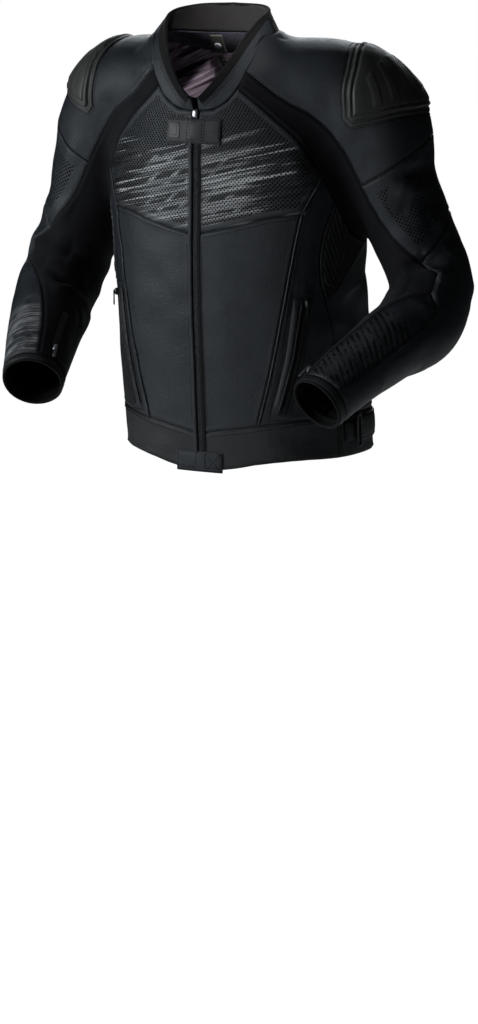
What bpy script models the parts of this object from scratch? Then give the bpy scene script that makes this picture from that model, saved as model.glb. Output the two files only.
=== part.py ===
"""Leather motorcycle jacket, worn pose, filled out with nobody in it.

Metres, +Z up, front towards -Y, the wearer's left towards +X.  Every panel is a thin wall that lies on one
smooth form: a torso loft and two sleeve tubes, blended at the armholes.  Seams are short tables of points on
that form; a panel is a patch between four chains of seams, so neighbours share their seam's points.
"""
import math

import bmesh
import bpy
import numpy as np

# ---------------------------------------------------------------- driving sizes
HOLD_Y = -0.045        # the wearer's shoulders carry the jacket here, measured in the pattern's frame
HOLD_Z = 0.545
WALL = 0.0020          # leather with its lining
THIN = 0.0012          # binding, tape, facing
SEAM_GAP = 0.0003
BLEND = 0.028          # how softly sleeves and torso run into each other
CUFF_END = 0.016       # the sleeve ends this far before its middle line does, where the cuff band begins
ZIP_HALF = 0.0035      # half the slot between the front edges

# Torso loft: height above the hem, half width, front depth, back depth, middle, sideways lean, squareness
TORSO_ROWS = (
    # z      wide    front   back    middle  lean    square
    (-0.06, 0.175, 0.150, 0.138, 0.030, 0.000, 2.35),
    (0.00, 0.175, 0.150, 0.138, 0.030, 0.000, 2.35),
    (0.06, 0.177, 0.149, 0.132, 0.024, 0.000, 2.35),
    (0.13, 0.180, 0.145, 0.124, 0.015, 0.000, 2.35),
    (0.21, 0.178, 0.140, 0.117, 0.004, 0.000, 2.40),
    (0.30, 0.182, 0.138, 0.120, 0.000, 0.000, 2.40),
    (0.38, 0.188, 0.134, 0.126, -0.002, 0.000, 2.40),
    (0.44, 0.180, 0.126, 0.122, -0.010, 0.000, 2.35),
    (0.50, 0.150, 0.104, 0.108, -0.026, -0.002, 2.25),
    (0.545, 0.116, 0.082, 0.085, -0.042, -0.006, 2.15),
    (0.58, 0.095, 0.070, 0.066, -0.052, -0.010, 2.10),
    (0.62, 0.086, 0.060, 0.058, -0.055, -0.013, 2.00),
    (0.70, 0.084, 0.058, 0.055, -0.055, -0.014, 2.00),
)

# Sleeve tubes: middle of the sleeve, its radius sideways (towards shoulder top) and to the front
SLEEVE_LEFT = (
    # x      y       z      top    front
    (0.020, -0.040, 0.522, 0.056, 0.060),
    (0.100, -0.028, 0.522, 0.062, 0.074),
    (0.160, -0.012, 0.508, 0.072, 0.078),
    (0.205, 0.000, 0.466, 0.077, 0.074),
    (0.228, 0.010, 0.390, 0.063, 0.066),
    (0.256, 0.022, 0.315, 0.058, 0.062),
    (0.282, 0.024, 0.250, 0.057, 0.062),
    (0.289, -0.015, 0.203, 0.055, 0.060),
    (0.272, -0.080, 0.175, 0.051, 0.051),
    (0.246, -0.145, 0.142, 0.045, 0.043),
    (0.222, -0.207, 0.106, 0.040, 0.038),
)
SLEEVE_RIGHT = (
    # x       y       z      top    front
    (-0.020, -0.040, 0.522, 0.056, 0.060),
    (-0.100, -0.028, 0.522, 0.062, 0.074),
    (-0.160, -0.012, 0.508, 0.072, 0.078),
    (-0.205, 0.000, 0.466, 0.077, 0.074),
    (-0.238, 0.008, 0.390, 0.065, 0.067),
    (-0.261, 0.012, 0.320, 0.059, 0.063),
    (-0.285, 0.006, 0.258, 0.057, 0.062),
    (-0.286, -0.030, 0.212, 0.056, 0.062),
    (-0.268, -0.085, 0.176, 0.054, 0.056),
    (-0.248, -0.140, 0.140, 0.048, 0.050),
    (-0.230, -0.190, 0.102, 0.042, 0.043),
)
AXIS_STEPS = 96        # samples along a sleeve's middle line


# ---------------------------------------------------------------- small vector helpers
def unit(v):
    return v / np.maximum(np.linalg.norm(v, axis=-1, keepdims=True), 1e-12)


def spline(knots, rows, at):
    """Smooth curve through rows at the given knots, with the slopes of a Catmull-Rom curve."""
    knots, rows, at = np.asarray(knots, float), np.asarray(rows, float), np.asarray(at, float)
    rows = rows.reshape(len(knots), -1)
    slope = np.gradient(rows, knots, axis=0)
    at = np.clip(at, knots[0], knots[-1])
    i = np.clip(np.searchsorted(knots, at, side="right") - 1, 0, len(knots) - 2)
    span = knots[i + 1] - knots[i]
    t = ((at - knots[i]) / span)[:, None]
    h = span[:, None]
    return (
        (2 * t**3 - 3 * t**2 + 1) * rows[i]
        + (t**3 - 2 * t**2 + t) * h * slope[i]
        + (-2 * t**3 + 3 * t**2) * rows[i + 1]
        + (t**3 - t**2) * h * slope[i + 1]
    )


def chord_lengths(points):
    steps = np.linalg.norm(np.diff(points, axis=0), axis=1)
    return np.concatenate(([0.0], np.cumsum(steps)))


def through(points, count):
    """Curve through a few points, read again at equal steps."""
    points = np.asarray(points, float)
    fine = spline(chord_lengths(points), points, np.linspace(0, chord_lengths(points)[-1], 40 * len(points)))
    run = chord_lengths(fine)
    at = np.linspace(0, run[-1], count)
    return np.stack([np.interp(at, run, fine[:, k]) for k in range(3)], axis=1)


# ---------------------------------------------------------------- the form
class Sleeve:
    """A tube with an oval section round a smooth middle line."""

    def __init__(self, rows):
        rows = np.array(rows)
        run = chord_lengths(rows[:, :3])
        self.run = np.linspace(0, run[-1], AXIS_STEPS)
        self.mid = spline(run, rows[:, :3], self.run)
        self.radius = spline(run, rows[:, 3:5], self.run)
        along = unit(np.gradient(self.mid, axis=0))
        # The section's axes are carried along the line without twist, starting with "top" upwards.
        top = np.zeros_like(along)
        up = np.array([0.0, 0.0, 1.0])
        for k in range(AXIS_STEPS):
            last = up if k == 0 else top[k - 1]
            top[k] = unit(last - along[k] * np.dot(last, along[k]))
        self.along, self.top = along, top
        side = np.cross(along, top)
        self.front = side if side[0, 1] < 0 else -side

    def locate(self, p):
        """Nearest place on the middle line for each point: step number as a real number."""
        d = ((p**2).sum(1)[:, None] - 2 * p @ self.mid.T) + (self.mid**2).sum(1)[None]
        k = np.clip(d.argmin(1), 1, AXIS_STEPS - 2)
        rows = np.arange(len(p))
        a, b, c = d[rows, k - 1], d[rows, k], d[rows, k + 1]
        bend = np.maximum(a - 2 * b + c, 1e-12)
        return k + np.clip(0.5 * (a - c) / bend, -1, 1)

    def at(self, table, k):
        i = np.clip(np.floor(k).astype(int), 0, AXIS_STEPS - 2)
        t = (k - i)[:, None]
        return table[i] * (1 - t) + table[i + 1] * t

    def field(self, p):
        k = self.locate(p)
        mid, radius = self.at(self.mid, k), self.at(self.radius, k)
        rel = p - mid
        along = unit(self.at(self.along, k))
        x = (rel * self.at(self.top, k)).sum(1) / radius[:, 0]
        y = (rel * self.at(self.front, k)).sum(1) / radius[:, 1]
        z = (rel * along).sum(1) / radius[:, 0]
        q = np.sqrt(x * x + y * y + z * z)
        return np.linalg.norm(rel, axis=1) * (1 - 1 / np.maximum(q, 1e-6))

    def ray(self, run, angle):
        """Start and direction of the ray at a distance along the line; 0 is the top, 90 the front."""
        k = np.interp(run, self.run, np.arange(AXIS_STEPS)).reshape(-1)
        a = np.radians(np.asarray(angle, float)).reshape(-1, 1)
        way = np.cos(a) * self.at(self.top, k) + np.sin(a) * self.at(self.front, k)
        return self.at(self.mid, k), unit(way)


def torso_row(z):
    rows = np.array(TORSO_ROWS)
    return spline(rows[:, 0], rows[:, 1:], z).T


def torso_field(p):
    wide, front, back, middle, lean, square = torso_row(p[:, 2])
    x, y = p[:, 0] - lean, p[:, 1] - middle
    deep = np.where(y < 0, front, back)
    q = (np.abs(x / wide) ** square + np.abs(y / deep) ** square) ** (1 / square)
    return np.hypot(x, y) * (1 - 1 / np.maximum(q, 1e-6))


def soft_min(a, b, k=BLEND):
    h = np.clip(0.5 + 0.5 * (b - a) / k, 0, 1)
    return b * (1 - h) + a * h - k * h * (1 - h)


LEFT, RIGHT = Sleeve(SLEEVE_LEFT), Sleeve(SLEEVE_RIGHT)


def form(p):
    """Negative inside the jacket, zero on its outer face."""
    p = np.asarray(p, float)
    return soft_min(soft_min(torso_field(p), LEFT.field(p)), RIGHT.field(p))


def slope(p, field=form, h=0.0006):
    grad = np.stack([field(p + h * e) - field(p - h * e) for e in np.eye(3)], axis=1)
    return grad / (2 * h)


def settle(p, field=form, steps=4):
    """Moves points straight onto the form."""
    for _ in range(steps):
        g = slope(p, field)
        move = field(p)[:, None] * g / np.maximum((g**2).sum(1, keepdims=True), 0.05)
        size = np.linalg.norm(move, axis=1, keepdims=True)
        p = p - move * np.minimum(1, 0.03 / np.maximum(size, 1e-9))
    return p


def cast(start, way, far=0.32, field=form):
    """First place along each ray, seen from inside, where the form is left."""
    reach = np.linspace(0.01, far, 60)
    values = np.stack([field(start + way * t) for t in reach], axis=1)
    out = (values > 0).argmax(1)
    out = np.where(values.max(1) <= 0, len(reach) - 1, np.maximum(out, 1))
    lo, hi = reach[out - 1], reach[out]
    for _ in range(22):
        mid = (lo + hi) / 2
        inside = field(start + way * mid[:, None]) < 0
        lo, hi = np.where(inside, mid, lo), np.where(inside, hi, mid)
    return start + way * ((lo + hi) / 2)[:, None]


# ---------------------------------------------------------------- seams
# A row of a seam is one point: "body" rows give a height and an angle round the torso (0 front, 90 side,
# 180 back); "arm" rows give a distance along the sleeve's middle and an angle round it (0 top, 90 front).
NECK = (  # the collar's foot, by angle
    (0, 0.486), (17, 0.489), (28, 0.504), (40, 0.527), (55, 0.557), (72, 0.583), (95, 0.590),
    (130, 0.590), (180, 0.590),
)
HEM_TOP = ((0, 0.038), (30, 0.051), (50, 0.060), (72, 0.062), (120, 0.061), (180, 0.060))
HEM_LOW = ((0, -0.014), (14, -0.012), (30, -0.003), (50, 0.003), (72, 0.002), (120, 0.000), (180, 0.000))

NECK_STRIP_IN, NECK_STRIP_OUT, NECK_BACK = 35, 46, 138    # where the raglan seams meet the collar
PIPING_HEM, SIDE_HEM = 32, 72                             # where the front seams meet the hem band

RAGLAN_FRONT = (("body", 0.481, 49), ("body", 0.443, 59))
PIPING_TOP = ("body", 0.398, 66)
RIB_FRONT_TOP = ("body", 0.362, 72)
RIB_BACK_TOP = ("body", 0.304, 96)
UNDERARM_FRONT = (("body", 0.326, 80),)
ARMPIT = {+1: ("body", 0.345, 101), -1: ("body", 0.348, 102)}   # the right sleeve leaves the body higher up
ARMHOLE_BACK = ("body", 0.408, 110.5)
RAGLAN_LOW = (("body", 0.378, 106),)
RAGLAN_BACK = (("body", 0.455, 120), ("body", 0.505, 134), ("body", 0.548, 141))

CHEST_SIDE = ("body", 0.347, 56)
CHEST_V = (("body", 0.330, 26), ("body", 0.342, 42))
CHEST_V_MIDDLE = 0.3165
PIPING = (("body", 0.300, 53), ("body", 0.210, 47), ("body", 0.120, 39))
RIB_FRONT = (("body", 0.320, 67), ("body", 0.270, 65))
RIB_TIP = ("body", 0.228, 68)
RIB_BACK = (("body", 0.262, 80),)
SIDE_SEAM = (("body", 0.180, 72), ("body", 0.120, 73))
BACK_SEAM = (("body", 0.305, 112), ("body", 0.255, 120), ("body", 0.200, 125), ("body", 0.120, 127))
BACK_HEM = 128

SLEEVE_FRONT_A = (("arm", 0.085, 106), ("arm", 0.130, 117), ("arm", 0.190, 123), ("arm", 0.235, 124))
SLEEVE_SEAM_1 = ("arm", 0.281, 119)
SLEEVE_FRONT_B = (("arm", 0.330, 113), ("arm", 0.375, 99))
SLEEVE_SEAM_2 = ("arm", 0.410, 84)
SLEEVE_FRONT_C = (("arm", 0.450, 66),)
SLEEVE_SEAM_3 = ("arm", 0.498, 64)
SLEEVE_FRONT_D = (("arm", 0.540, 88), ("arm", 0.600, 108), ("arm", 0.650, 118))
CUFF_FRONT, CUFF_LOWER, CUFF_BACK = 122, 33, -118

SLEEVE_BACK_B = (("arm", 0.358, -134),)
SLEEVE_BACK_2 = ("arm", 0.395, -116)
SLEEVE_BACK_C = (("arm", 0.440, -108), ("arm", 0.490, -104), ("arm", 0.560, -108), ("arm", 0.630, -114))
CROSS_1 = (("arm", 0.262, 62), ("arm", 0.243, 10), ("arm", 0.244, -60), ("arm", 0.255, -115))
CROSS_2 = (("arm", 0.385, 45), ("arm", 0.356, 0), ("arm", 0.362, -60))
LOWER_SEAM = (("arm", 0.520, 44), ("arm", 0.560, 32), ("arm", 0.630, 29))

SEAM_STEP = 0.026      # longest step between a seam's shared points

# Largest folds: where each starts and ends on the body or an arm, half its width, height (minus is a hollow)
FOLDS = (
    # on    from           to             width  height
    ("arm", 0.425, 105, 0.405, 45, 0.017, -0.005),
    ("arm", 0.452, 125, 0.446, 40, 0.017, 0.005),
    ("arm", 0.482, 130, 0.480, 60, 0.017, -0.005),
    ("arm", 0.372, 112, 0.360, 55, 0.018, 0.003),
    ("arm", 0.515, 170, 0.512, 100, 0.018, 0.005),
    ("arm", 0.440, -130, 0.452, -50, 0.020, 0.004),
    ("arm", 0.478, -120, 0.480, -40, 0.018, -0.004),
    ("arm", 0.560, -50, 0.640, -20, 0.020, -0.003),
    ("body", 0.235, 88, 0.150, 96, 0.022, -0.005),
    ("body", 0.250, 104, 0.120, 110, 0.024, 0.005),
    ("body", 0.200, 150, 0.170, 172, 0.026, -0.005),
    ("body", 0.280, 135, 0.330, 150, 0.024, -0.004),
)


def torso_ray(side, z, angle):
    z = np.asarray(z, float).reshape(-1)
    a = np.radians(np.asarray(angle, float)).reshape(-1)
    _, _, _, middle, lean, _ = torso_row(z)
    start = np.stack([lean, middle, z], axis=1)
    return start, np.stack([side * np.sin(a), -np.cos(a), 0 * a], axis=1)


class Side:
    """One side of the jacket: +1 is the wearer's left, -1 the right."""

    def __init__(self, sign):
        self.sign = sign
        self.sleeve = LEFT if sign > 0 else RIGHT
        self.scale = self.sleeve.run[-1] / LEFT.run[-1]
        self.folds = [self.fold(*row) for row in FOLDS]

    def place(self, rows):
        """Points on the form for rows of a seam table."""
        points = []
        for on, along, angle in rows:
            if on == "body":
                start, way = torso_ray(self.sign, along, angle)
                points.append(cast(start, way, field=torso_field)[0])
            else:
                start, way = self.sleeve.ray(along * self.scale, angle)
                points.append(cast(start, way, far=0.15, field=self.sleeve.field)[0])
        return settle(np.array(points))

    def fold(self, on, along0, angle0, along1, angle1, width, height):
        steps = np.linspace(0, 1, 7)
        rows = [(on, along0 + (along1 - along0) * t, angle0 + (angle1 - angle0) * t) for t in steps]
        return self.place(rows), width, height

    def ring(self, table, angles):
        """Points of a level line, such as the hem, given as angle and height."""
        table = np.array(table, float)
        rows = [("body", spline(table[:, 0], table[:, 1], [a])[0, 0], a) for a in angles]
        return self.place(rows)


def fold_height(p):
    """How far the folds lift or sink the cloth at each point."""
    lift = np.zeros(len(p))
    for side in SIDES:
        for line, width, height in side.folds:
            seg0, seg = line[:-1], np.diff(line, axis=0)
            rel = p[:, None] - seg0[None]
            t = np.clip((rel * seg).sum(2) / (seg**2).sum(1), 0, 1)
            away = np.linalg.norm(rel - t[..., None] * seg, axis=2)
            best = away.argmin(1)
            rows = np.arange(len(p))
            along = (best + t[rows, best]) / len(seg)
            taper = np.clip(4 * along * (1 - along), 0, 1) ** 0.5
            lift += height * taper * np.exp(-((away[rows, best] / width) ** 2))
    return lift


def on_cloth(p):
    """Position and outward normal, six columns, of points of the form once folded."""
    n = unit(slope(p))
    return np.concatenate([p + n * fold_height(p)[:, None], n], axis=1)


SIDES = [Side(+1), Side(-1)]


def seam(points):
    """A seam through a few points of the form, with its shared samples; bare form points."""
    count = max(2, int(round(chord_lengths(np.array(points))[-1] / SEAM_STEP)) + 1)
    return settle(through(points, count))


def chain(*seams):
    return np.concatenate([seams[0]] + [s[1:] for s in seams[1:]])


def fill(line, count):
    """Adds points in the middle of the longest steps until the line has count points."""
    line = np.array(line)
    while len(line) < count:
        k = np.linalg.norm(np.diff(line[:, :3], axis=0), axis=1).argmax()
        line = np.insert(line, k + 1, (line[k] + line[k + 1]) / 2, axis=0)
    return line


def blend_grid(top, bottom, left, right):
    """Coons patch: rows run from top to bottom, columns from left to right."""
    u = np.linspace(0, 1, len(top))[None, :, None]
    v = np.linspace(0, 1, len(left))[:, None, None]
    return (
        (1 - v) * top[None] + v * bottom[None] + (1 - u) * left[:, None] + u * right[:, None]
        - (1 - u) * (1 - v) * top[0] - u * (1 - v) * top[-1] - (1 - u) * v * bottom[0] - u * v * bottom[-1]
    )


def patch(top, bottom, left, right, guides=(), rounds=30, finer=(1, 1), least=2):
    """Six-column grid between four chains of seam points; guides lead the inner points round a tube."""
    rows, columns = max(len(left), len(right)), max(len(top), len(bottom))
    rows, columns = finer[0] * (rows - 1) + 1, max(least, finer[1] * (columns - 1) + 1)
    edges = [fill(on_cloth(line), count) for line, count in
             ((top, columns), (bottom, columns), (left, rows), (right, rows))]
    base = [fill(line, count) for line, count in
            ((top, columns), (bottom, columns), (left, rows), (right, rows))]
    grid = blend_grid(*base)
    if len(guides):
        steps = np.linspace(0, 1, rows)
        lines = [base[2]] + [spline(g[0], g[1], steps) if isinstance(g, tuple) else through(g, rows)
                             for g in guides] + [base[3]]
        across = np.linspace(0, 1, columns)
        knots = np.linspace(0, 1, len(lines))
        for r in range(1, rows - 1):
            grid[r, 1:-1] = spline(knots, np.array([line[r] for line in lines]), across)[1:-1]
    for k in range(rounds):
        inner = (grid[:-2, 1:-1] + grid[2:, 1:-1] + grid[1:-1, :-2] + grid[1:-1, 2:]) / 4
        steps = 1 if k < rounds - 1 else 3
        grid[1:-1, 1:-1] = settle(inner.reshape(-1, 3), steps=steps).reshape(inner.shape)
    cloth = on_cloth(grid.reshape(-1, 3)).reshape(rows, columns, 6)
    cloth[0], cloth[-1], cloth[:, 0], cloth[:, -1] = edges
    return cloth


def edge_steps(line, normal):
    """Sideways unit vectors of an edge line, averaged at its points, to the left of its run."""
    way = unit(np.diff(line, axis=0))
    before = np.concatenate([way[:1], way])
    after = np.concatenate([way, way[-1:]])
    return unit(np.cross(unit(normal), unit(before + after)))


def inset(cloth, by=SEAM_GAP / 2):
    """Draws the grid's four edges in by half a seam's gap."""
    p, n = cloth[..., :3].copy(), cloth[..., 3:]
    shift = np.zeros_like(p)
    mid = p[len(p) // 2, p.shape[1] // 2]
    for edge, inner in (((0, slice(None)), 1), ((-1, slice(None)), -2)):
        step = edge_steps(p[edge], n[edge])
        towards = p[inner] - p[edge]
        shift[edge] += step * np.sign((step * towards).sum(1).mean()) * by
    for edge, inner in (((slice(None), 0), 1), ((slice(None), -1), -2)):
        step = edge_steps(p[edge], n[edge])
        towards = p[:, inner] - p[edge]
        shift[edge] += step * np.sign((step * towards).sum(1).mean()) * by
    out = cloth.copy()
    out[..., :3] += shift
    return out


# ---------------------------------------------------------------- solids
MATERIALS = {
    "leather": ((0.016, 0.017, 0.019), 0.45, 0.0),
    "stretch": ((0.006, 0.006, 0.009), 0.85, 0.0),
    "soft": ((0.022, 0.021, 0.021), 0.8, 0.0),
    "lining": ((0.05, 0.042, 0.045), 0.6, 0.0),
    "mesh": ((0.02, 0.02, 0.03), 0.8, 0.0),
    "rubber": ((0.018, 0.018, 0.018), 0.5, 0.0),
    "metal": ((0.25, 0.25, 0.26), 0.3, 1.0),
    "dark_metal": ((0.03, 0.03, 0.03), 0.35, 1.0),
    "tape": ((0.004, 0.004, 0.004), 0.7, 0.0),
}


def material(name):
    found = bpy.data.materials.get(name)
    if found:
        return found
    colour, rough, metallic = MATERIALS[name]
    made = bpy.data.materials.new(name)
    made.use_nodes = True
    shader = made.node_tree.nodes["Principled BSDF"]
    shader.inputs["Base Color"].default_value = (*colour, 1)
    shader.inputs["Roughness"].default_value = rough
    shader.inputs["Metallic"].default_value = metallic
    return made


HOLD = np.array([0.0, HOLD_Y, HOLD_Z])


def solid(name, points, faces, stuff):
    """One named object from points and faces in the pattern's frame."""
    mesh = bpy.data.meshes.new(name)
    mesh.from_pydata((np.asarray(points) - HOLD).tolist(), [], [list(map(int, f)) for f in faces])
    work = bmesh.new()
    work.from_mesh(mesh)
    bmesh.ops.remove_doubles(work, verts=work.verts, dist=1e-6)
    bmesh.ops.triangulate(work, faces=work.faces)
    bmesh.ops.recalc_face_normals(work, faces=work.faces)
    work.to_mesh(mesh)
    work.free()
    mesh.shade_smooth()
    mesh.set_sharp_from_angle(angle=math.radians(40))
    made = bpy.data.objects.new(name, mesh)
    made.data.materials.append(material(stuff))
    bpy.context.collection.objects.link(made)
    return made


def slab(name, cloth, low, high, stuff, around=False):
    """Closed wall between two heights over a six-column grid; around joins its first and last columns."""
    rows, columns = cloth.shape[:2]
    p, n = cloth[..., :3], cloth[..., 3:]
    low = np.broadcast_to(np.asarray(low, float), (rows, columns))[..., None]
    high = np.broadcast_to(np.asarray(high, float), (rows, columns))[..., None]
    points = np.concatenate([(p + n * high).reshape(-1, 3), (p + n * low).reshape(-1, 3)])
    index = np.arange(rows * columns).reshape(rows, columns)
    under = index + rows * columns
    faces = []
    last = columns if around else columns - 1
    for r in range(rows - 1):
        for c in range(last):
            d = (c + 1) % columns
            faces.append((index[r, c], index[r + 1, c], index[r + 1, d], index[r, d]))
            faces.append((under[r, c], under[r, d], under[r + 1, d], under[r + 1, c]))
    for c in range(last):
        d = (c + 1) % columns
        faces.append((index[0, c], index[0, d], under[0, d], under[0, c]))
        faces.append((index[-1, c], under[-1, c], under[-1, d], index[-1, d]))
    if not around:
        for r in range(rows - 1):
            faces.append((index[r, 0], under[r, 0], under[r + 1, 0], index[r + 1, 0]))
            faces.append((index[r, -1], index[r + 1, -1], under[r + 1, -1], under[r, -1]))
    return solid(name, points, faces, stuff)


# ---------------------------------------------------------------- the pattern pieces
def side_seams(s):
    """All seams of one side, by name."""
    def ring(table, a0, a1, step=9):
        count = max(3, int(abs(a1 - a0) / step) + 2)
        return s.ring(table, np.linspace(a0, a1, count))

    def on_front(z):
        start = np.stack([s.sign * ZIP_HALF + 0 * z, torso_row(z)[3], z], axis=1)
        return cast(start, np.tile([0.0, -1.0, 0.0], (len(z), 1)), field=form)

    def front(z0, z1):
        count = max(3, int(round(abs(z1 - z0) / SEAM_STEP)) + 1)
        return on_front(np.linspace(z0, z1, count))

    p = {
        "neck_zip": on_front(np.array([NECK[0][1]]))[0],
        "v_zip": on_front(np.array([CHEST_V_MIDDLE]))[0],
        "hem_zip": on_front(np.array([HEM_TOP[0][1]]))[0],
        "low_zip": on_front(np.array([HEM_LOW[0][1]]))[0],
    }
    for name, row in (
        ("piping_top", PIPING_TOP), ("rib_front", RIB_FRONT_TOP), ("rib_back", RIB_BACK_TOP),
        ("under", ARMPIT[s.sign]), ("back1", ARMHOLE_BACK), ("chest_side", CHEST_SIDE), ("tip", RIB_TIP),
        ("front1", SLEEVE_SEAM_1), ("front2", SLEEVE_SEAM_2), ("front3", SLEEVE_SEAM_3),
        ("back2", SLEEVE_BACK_2),
    ):
        p[name] = s.place([row])[0]
    for name, table, angle in (
        ("neck_in", NECK, NECK_STRIP_IN), ("neck_out", NECK, NECK_STRIP_OUT), ("neck_back", NECK, NECK_BACK),
        ("hem_piping", HEM_TOP, PIPING_HEM), ("hem_side", HEM_TOP, SIDE_HEM), ("hem_back", HEM_TOP, BACK_HEM),
    ):
        p[name] = s.ring(table, [angle])[0]
    cuff = [("arm", LEFT.run[-1] - CUFF_END, a) for a in (CUFF_FRONT, CUFF_LOWER, CUFF_BACK)]
    p["cuff_front"], p["cuff_lower"], p["cuff_back"] = s.place(cuff)

    def between(a, rows, b):
        middle = s.place(rows) if rows else np.zeros((0, 3))
        return seam(np.concatenate([p[a][None], middle, p[b][None]]))

    def level(a, table, a0, a1, b):
        inside = ring(table, a0, a1)[1:-1]
        return seam(np.concatenate([p[a][None], inside, p[b][None]]))

    def cuff_line(a0, a1, a, b):
        angles = np.linspace(a0, a1, max(3, int(abs(a1 - a0) / 30) + 2))[1:-1]
        return between(a, [("arm", LEFT.run[-1] - CUFF_END, t) for t in angles], b)

    return p, {
        "zip_chest": front(NECK[0][1], CHEST_V_MIDDLE),
        "zip_front": front(CHEST_V_MIDDLE, HEM_TOP[0][1]),
        "zip_hem": front(HEM_TOP[0][1], HEM_LOW[0][1]),
        "neck_a": level("neck_zip", NECK, 2, NECK_STRIP_IN, "neck_in"),
        "neck_b": level("neck_in", NECK, NECK_STRIP_IN, NECK_STRIP_OUT, "neck_out"),
        "neck_c": level("neck_out", NECK, NECK_STRIP_OUT, NECK_BACK, "neck_back"),
        "v": between("v_zip", CHEST_V, "chest_side"),
        "raglan_front": between("neck_in", RAGLAN_FRONT, "piping_top"),
        "armhole_front": between("piping_top", (), "rib_front"),
        "armhole_rib": between("rib_front", UNDERARM_FRONT, "rib_back"),
        "armhole_back": between("rib_back", (), "under"),
        "raglan_low": between("under", RAGLAN_LOW, "back1"),
        "raglan_back": between("back1", RAGLAN_BACK, "neck_back"),
        "piping_chest": between("piping_top", (), "chest_side"),
        "piping": between("chest_side", PIPING, "hem_piping"),
        "rib_front": between("rib_front", RIB_FRONT, "tip"),
        "rib_back": between("rib_back", RIB_BACK, "tip"),
        "side": between("tip", SIDE_SEAM, "hem_side"),
        "back": between("under", BACK_SEAM, "hem_back"),
        "hem_a": level("hem_zip", HEM_TOP, 2, PIPING_HEM, "hem_piping"),
        "hem_b": level("hem_piping", HEM_TOP, PIPING_HEM, SIDE_HEM, "hem_side"),
        "hem_c": level("hem_side", HEM_TOP, SIDE_HEM, BACK_HEM, "hem_back"),
        "sleeve_a": between("neck_out", SLEEVE_FRONT_A, "front1"),
        "sleeve_b": between("front1", SLEEVE_FRONT_B, "front2"),
        "sleeve_c": between("front2", SLEEVE_FRONT_C, "front3"),
        "sleeve_d": between("front3", SLEEVE_FRONT_D, "cuff_front"),
        "back_b": between("under", SLEEVE_BACK_B, "back2"),
        "back_c": between("back2", SLEEVE_BACK_C, "cuff_back"),
        "cross_1": between("front1", CROSS_1, "back1"),
        "cross_2": between("front2", CROSS_2, "back2"),
        "lower": between("front3", LOWER_SEAM, "cuff_lower"),
        "cuff_a": cuff_line(CUFF_FRONT, CUFF_LOWER, "cuff_front", "cuff_lower"),
        "cuff_b": cuff_line(CUFF_LOWER, CUFF_BACK, "cuff_lower", "cuff_back"),
        "cuff_c": cuff_line(CUFF_FRONT, CUFF_BACK + 360, "cuff_front", "cuff_back"),
    }


# Inner lines of the stretch panel where it runs under the arm: share of its length, three places across it
STRETCH_FIRST = 0.18
STRETCH_LINES = (
    (0.240, ("body", 0.385, 73), ("body", 0.405, 74), ("body", 0.430, 72)),
    (0.285, ("body", 0.345, 82), ("body", 0.362, 82.5), ("arm", 0.255, 140)),
    (0.360, ("body", 0.325, 94), ("arm", 0.322, 175), ("arm", 0.305, 148)),
    (0.415, ("arm", 0.328, 177), ("arm", 0.326, 155), ("arm", 0.322, 135)),
    (0.470, ("arm", 0.360, 196), ("arm", 0.360, 166), ("arm", 0.358, 135)),
    (0.530, ("arm", 0.395, 205), ("arm", 0.396, 166), ("arm", 0.397, 127)),
    (0.640, ("arm", 0.470, 207), ("arm", 0.470, 160), ("arm", 0.470, 112)),
    (0.800, ("arm", 0.580, 213), ("arm", 0.580, 176), ("arm", 0.580, 139)),
    (1.000, ("arm", 0.710, 212), ("arm", 0.710, 182), ("arm", 0.710, 152)),
)


def stretch_guides(s, near, far):
    """Lines between the two long edges; above the armpit they are straight steps from edge to edge."""
    early = np.linspace(0, STRETCH_FIRST, 4)
    a, b = (np.stack([np.interp(early, np.linspace(0, 1, len(line)), line[:, k]) for k in range(3)], axis=1)
            for line in (near, far))
    knots = np.concatenate([early, [row[0] for row in STRETCH_LINES]])
    return [(knots, np.concatenate([a + (b - a) * k / 4, s.place([row[k] for row in STRETCH_LINES])]))
            for k in (1, 2, 3)]


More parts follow.
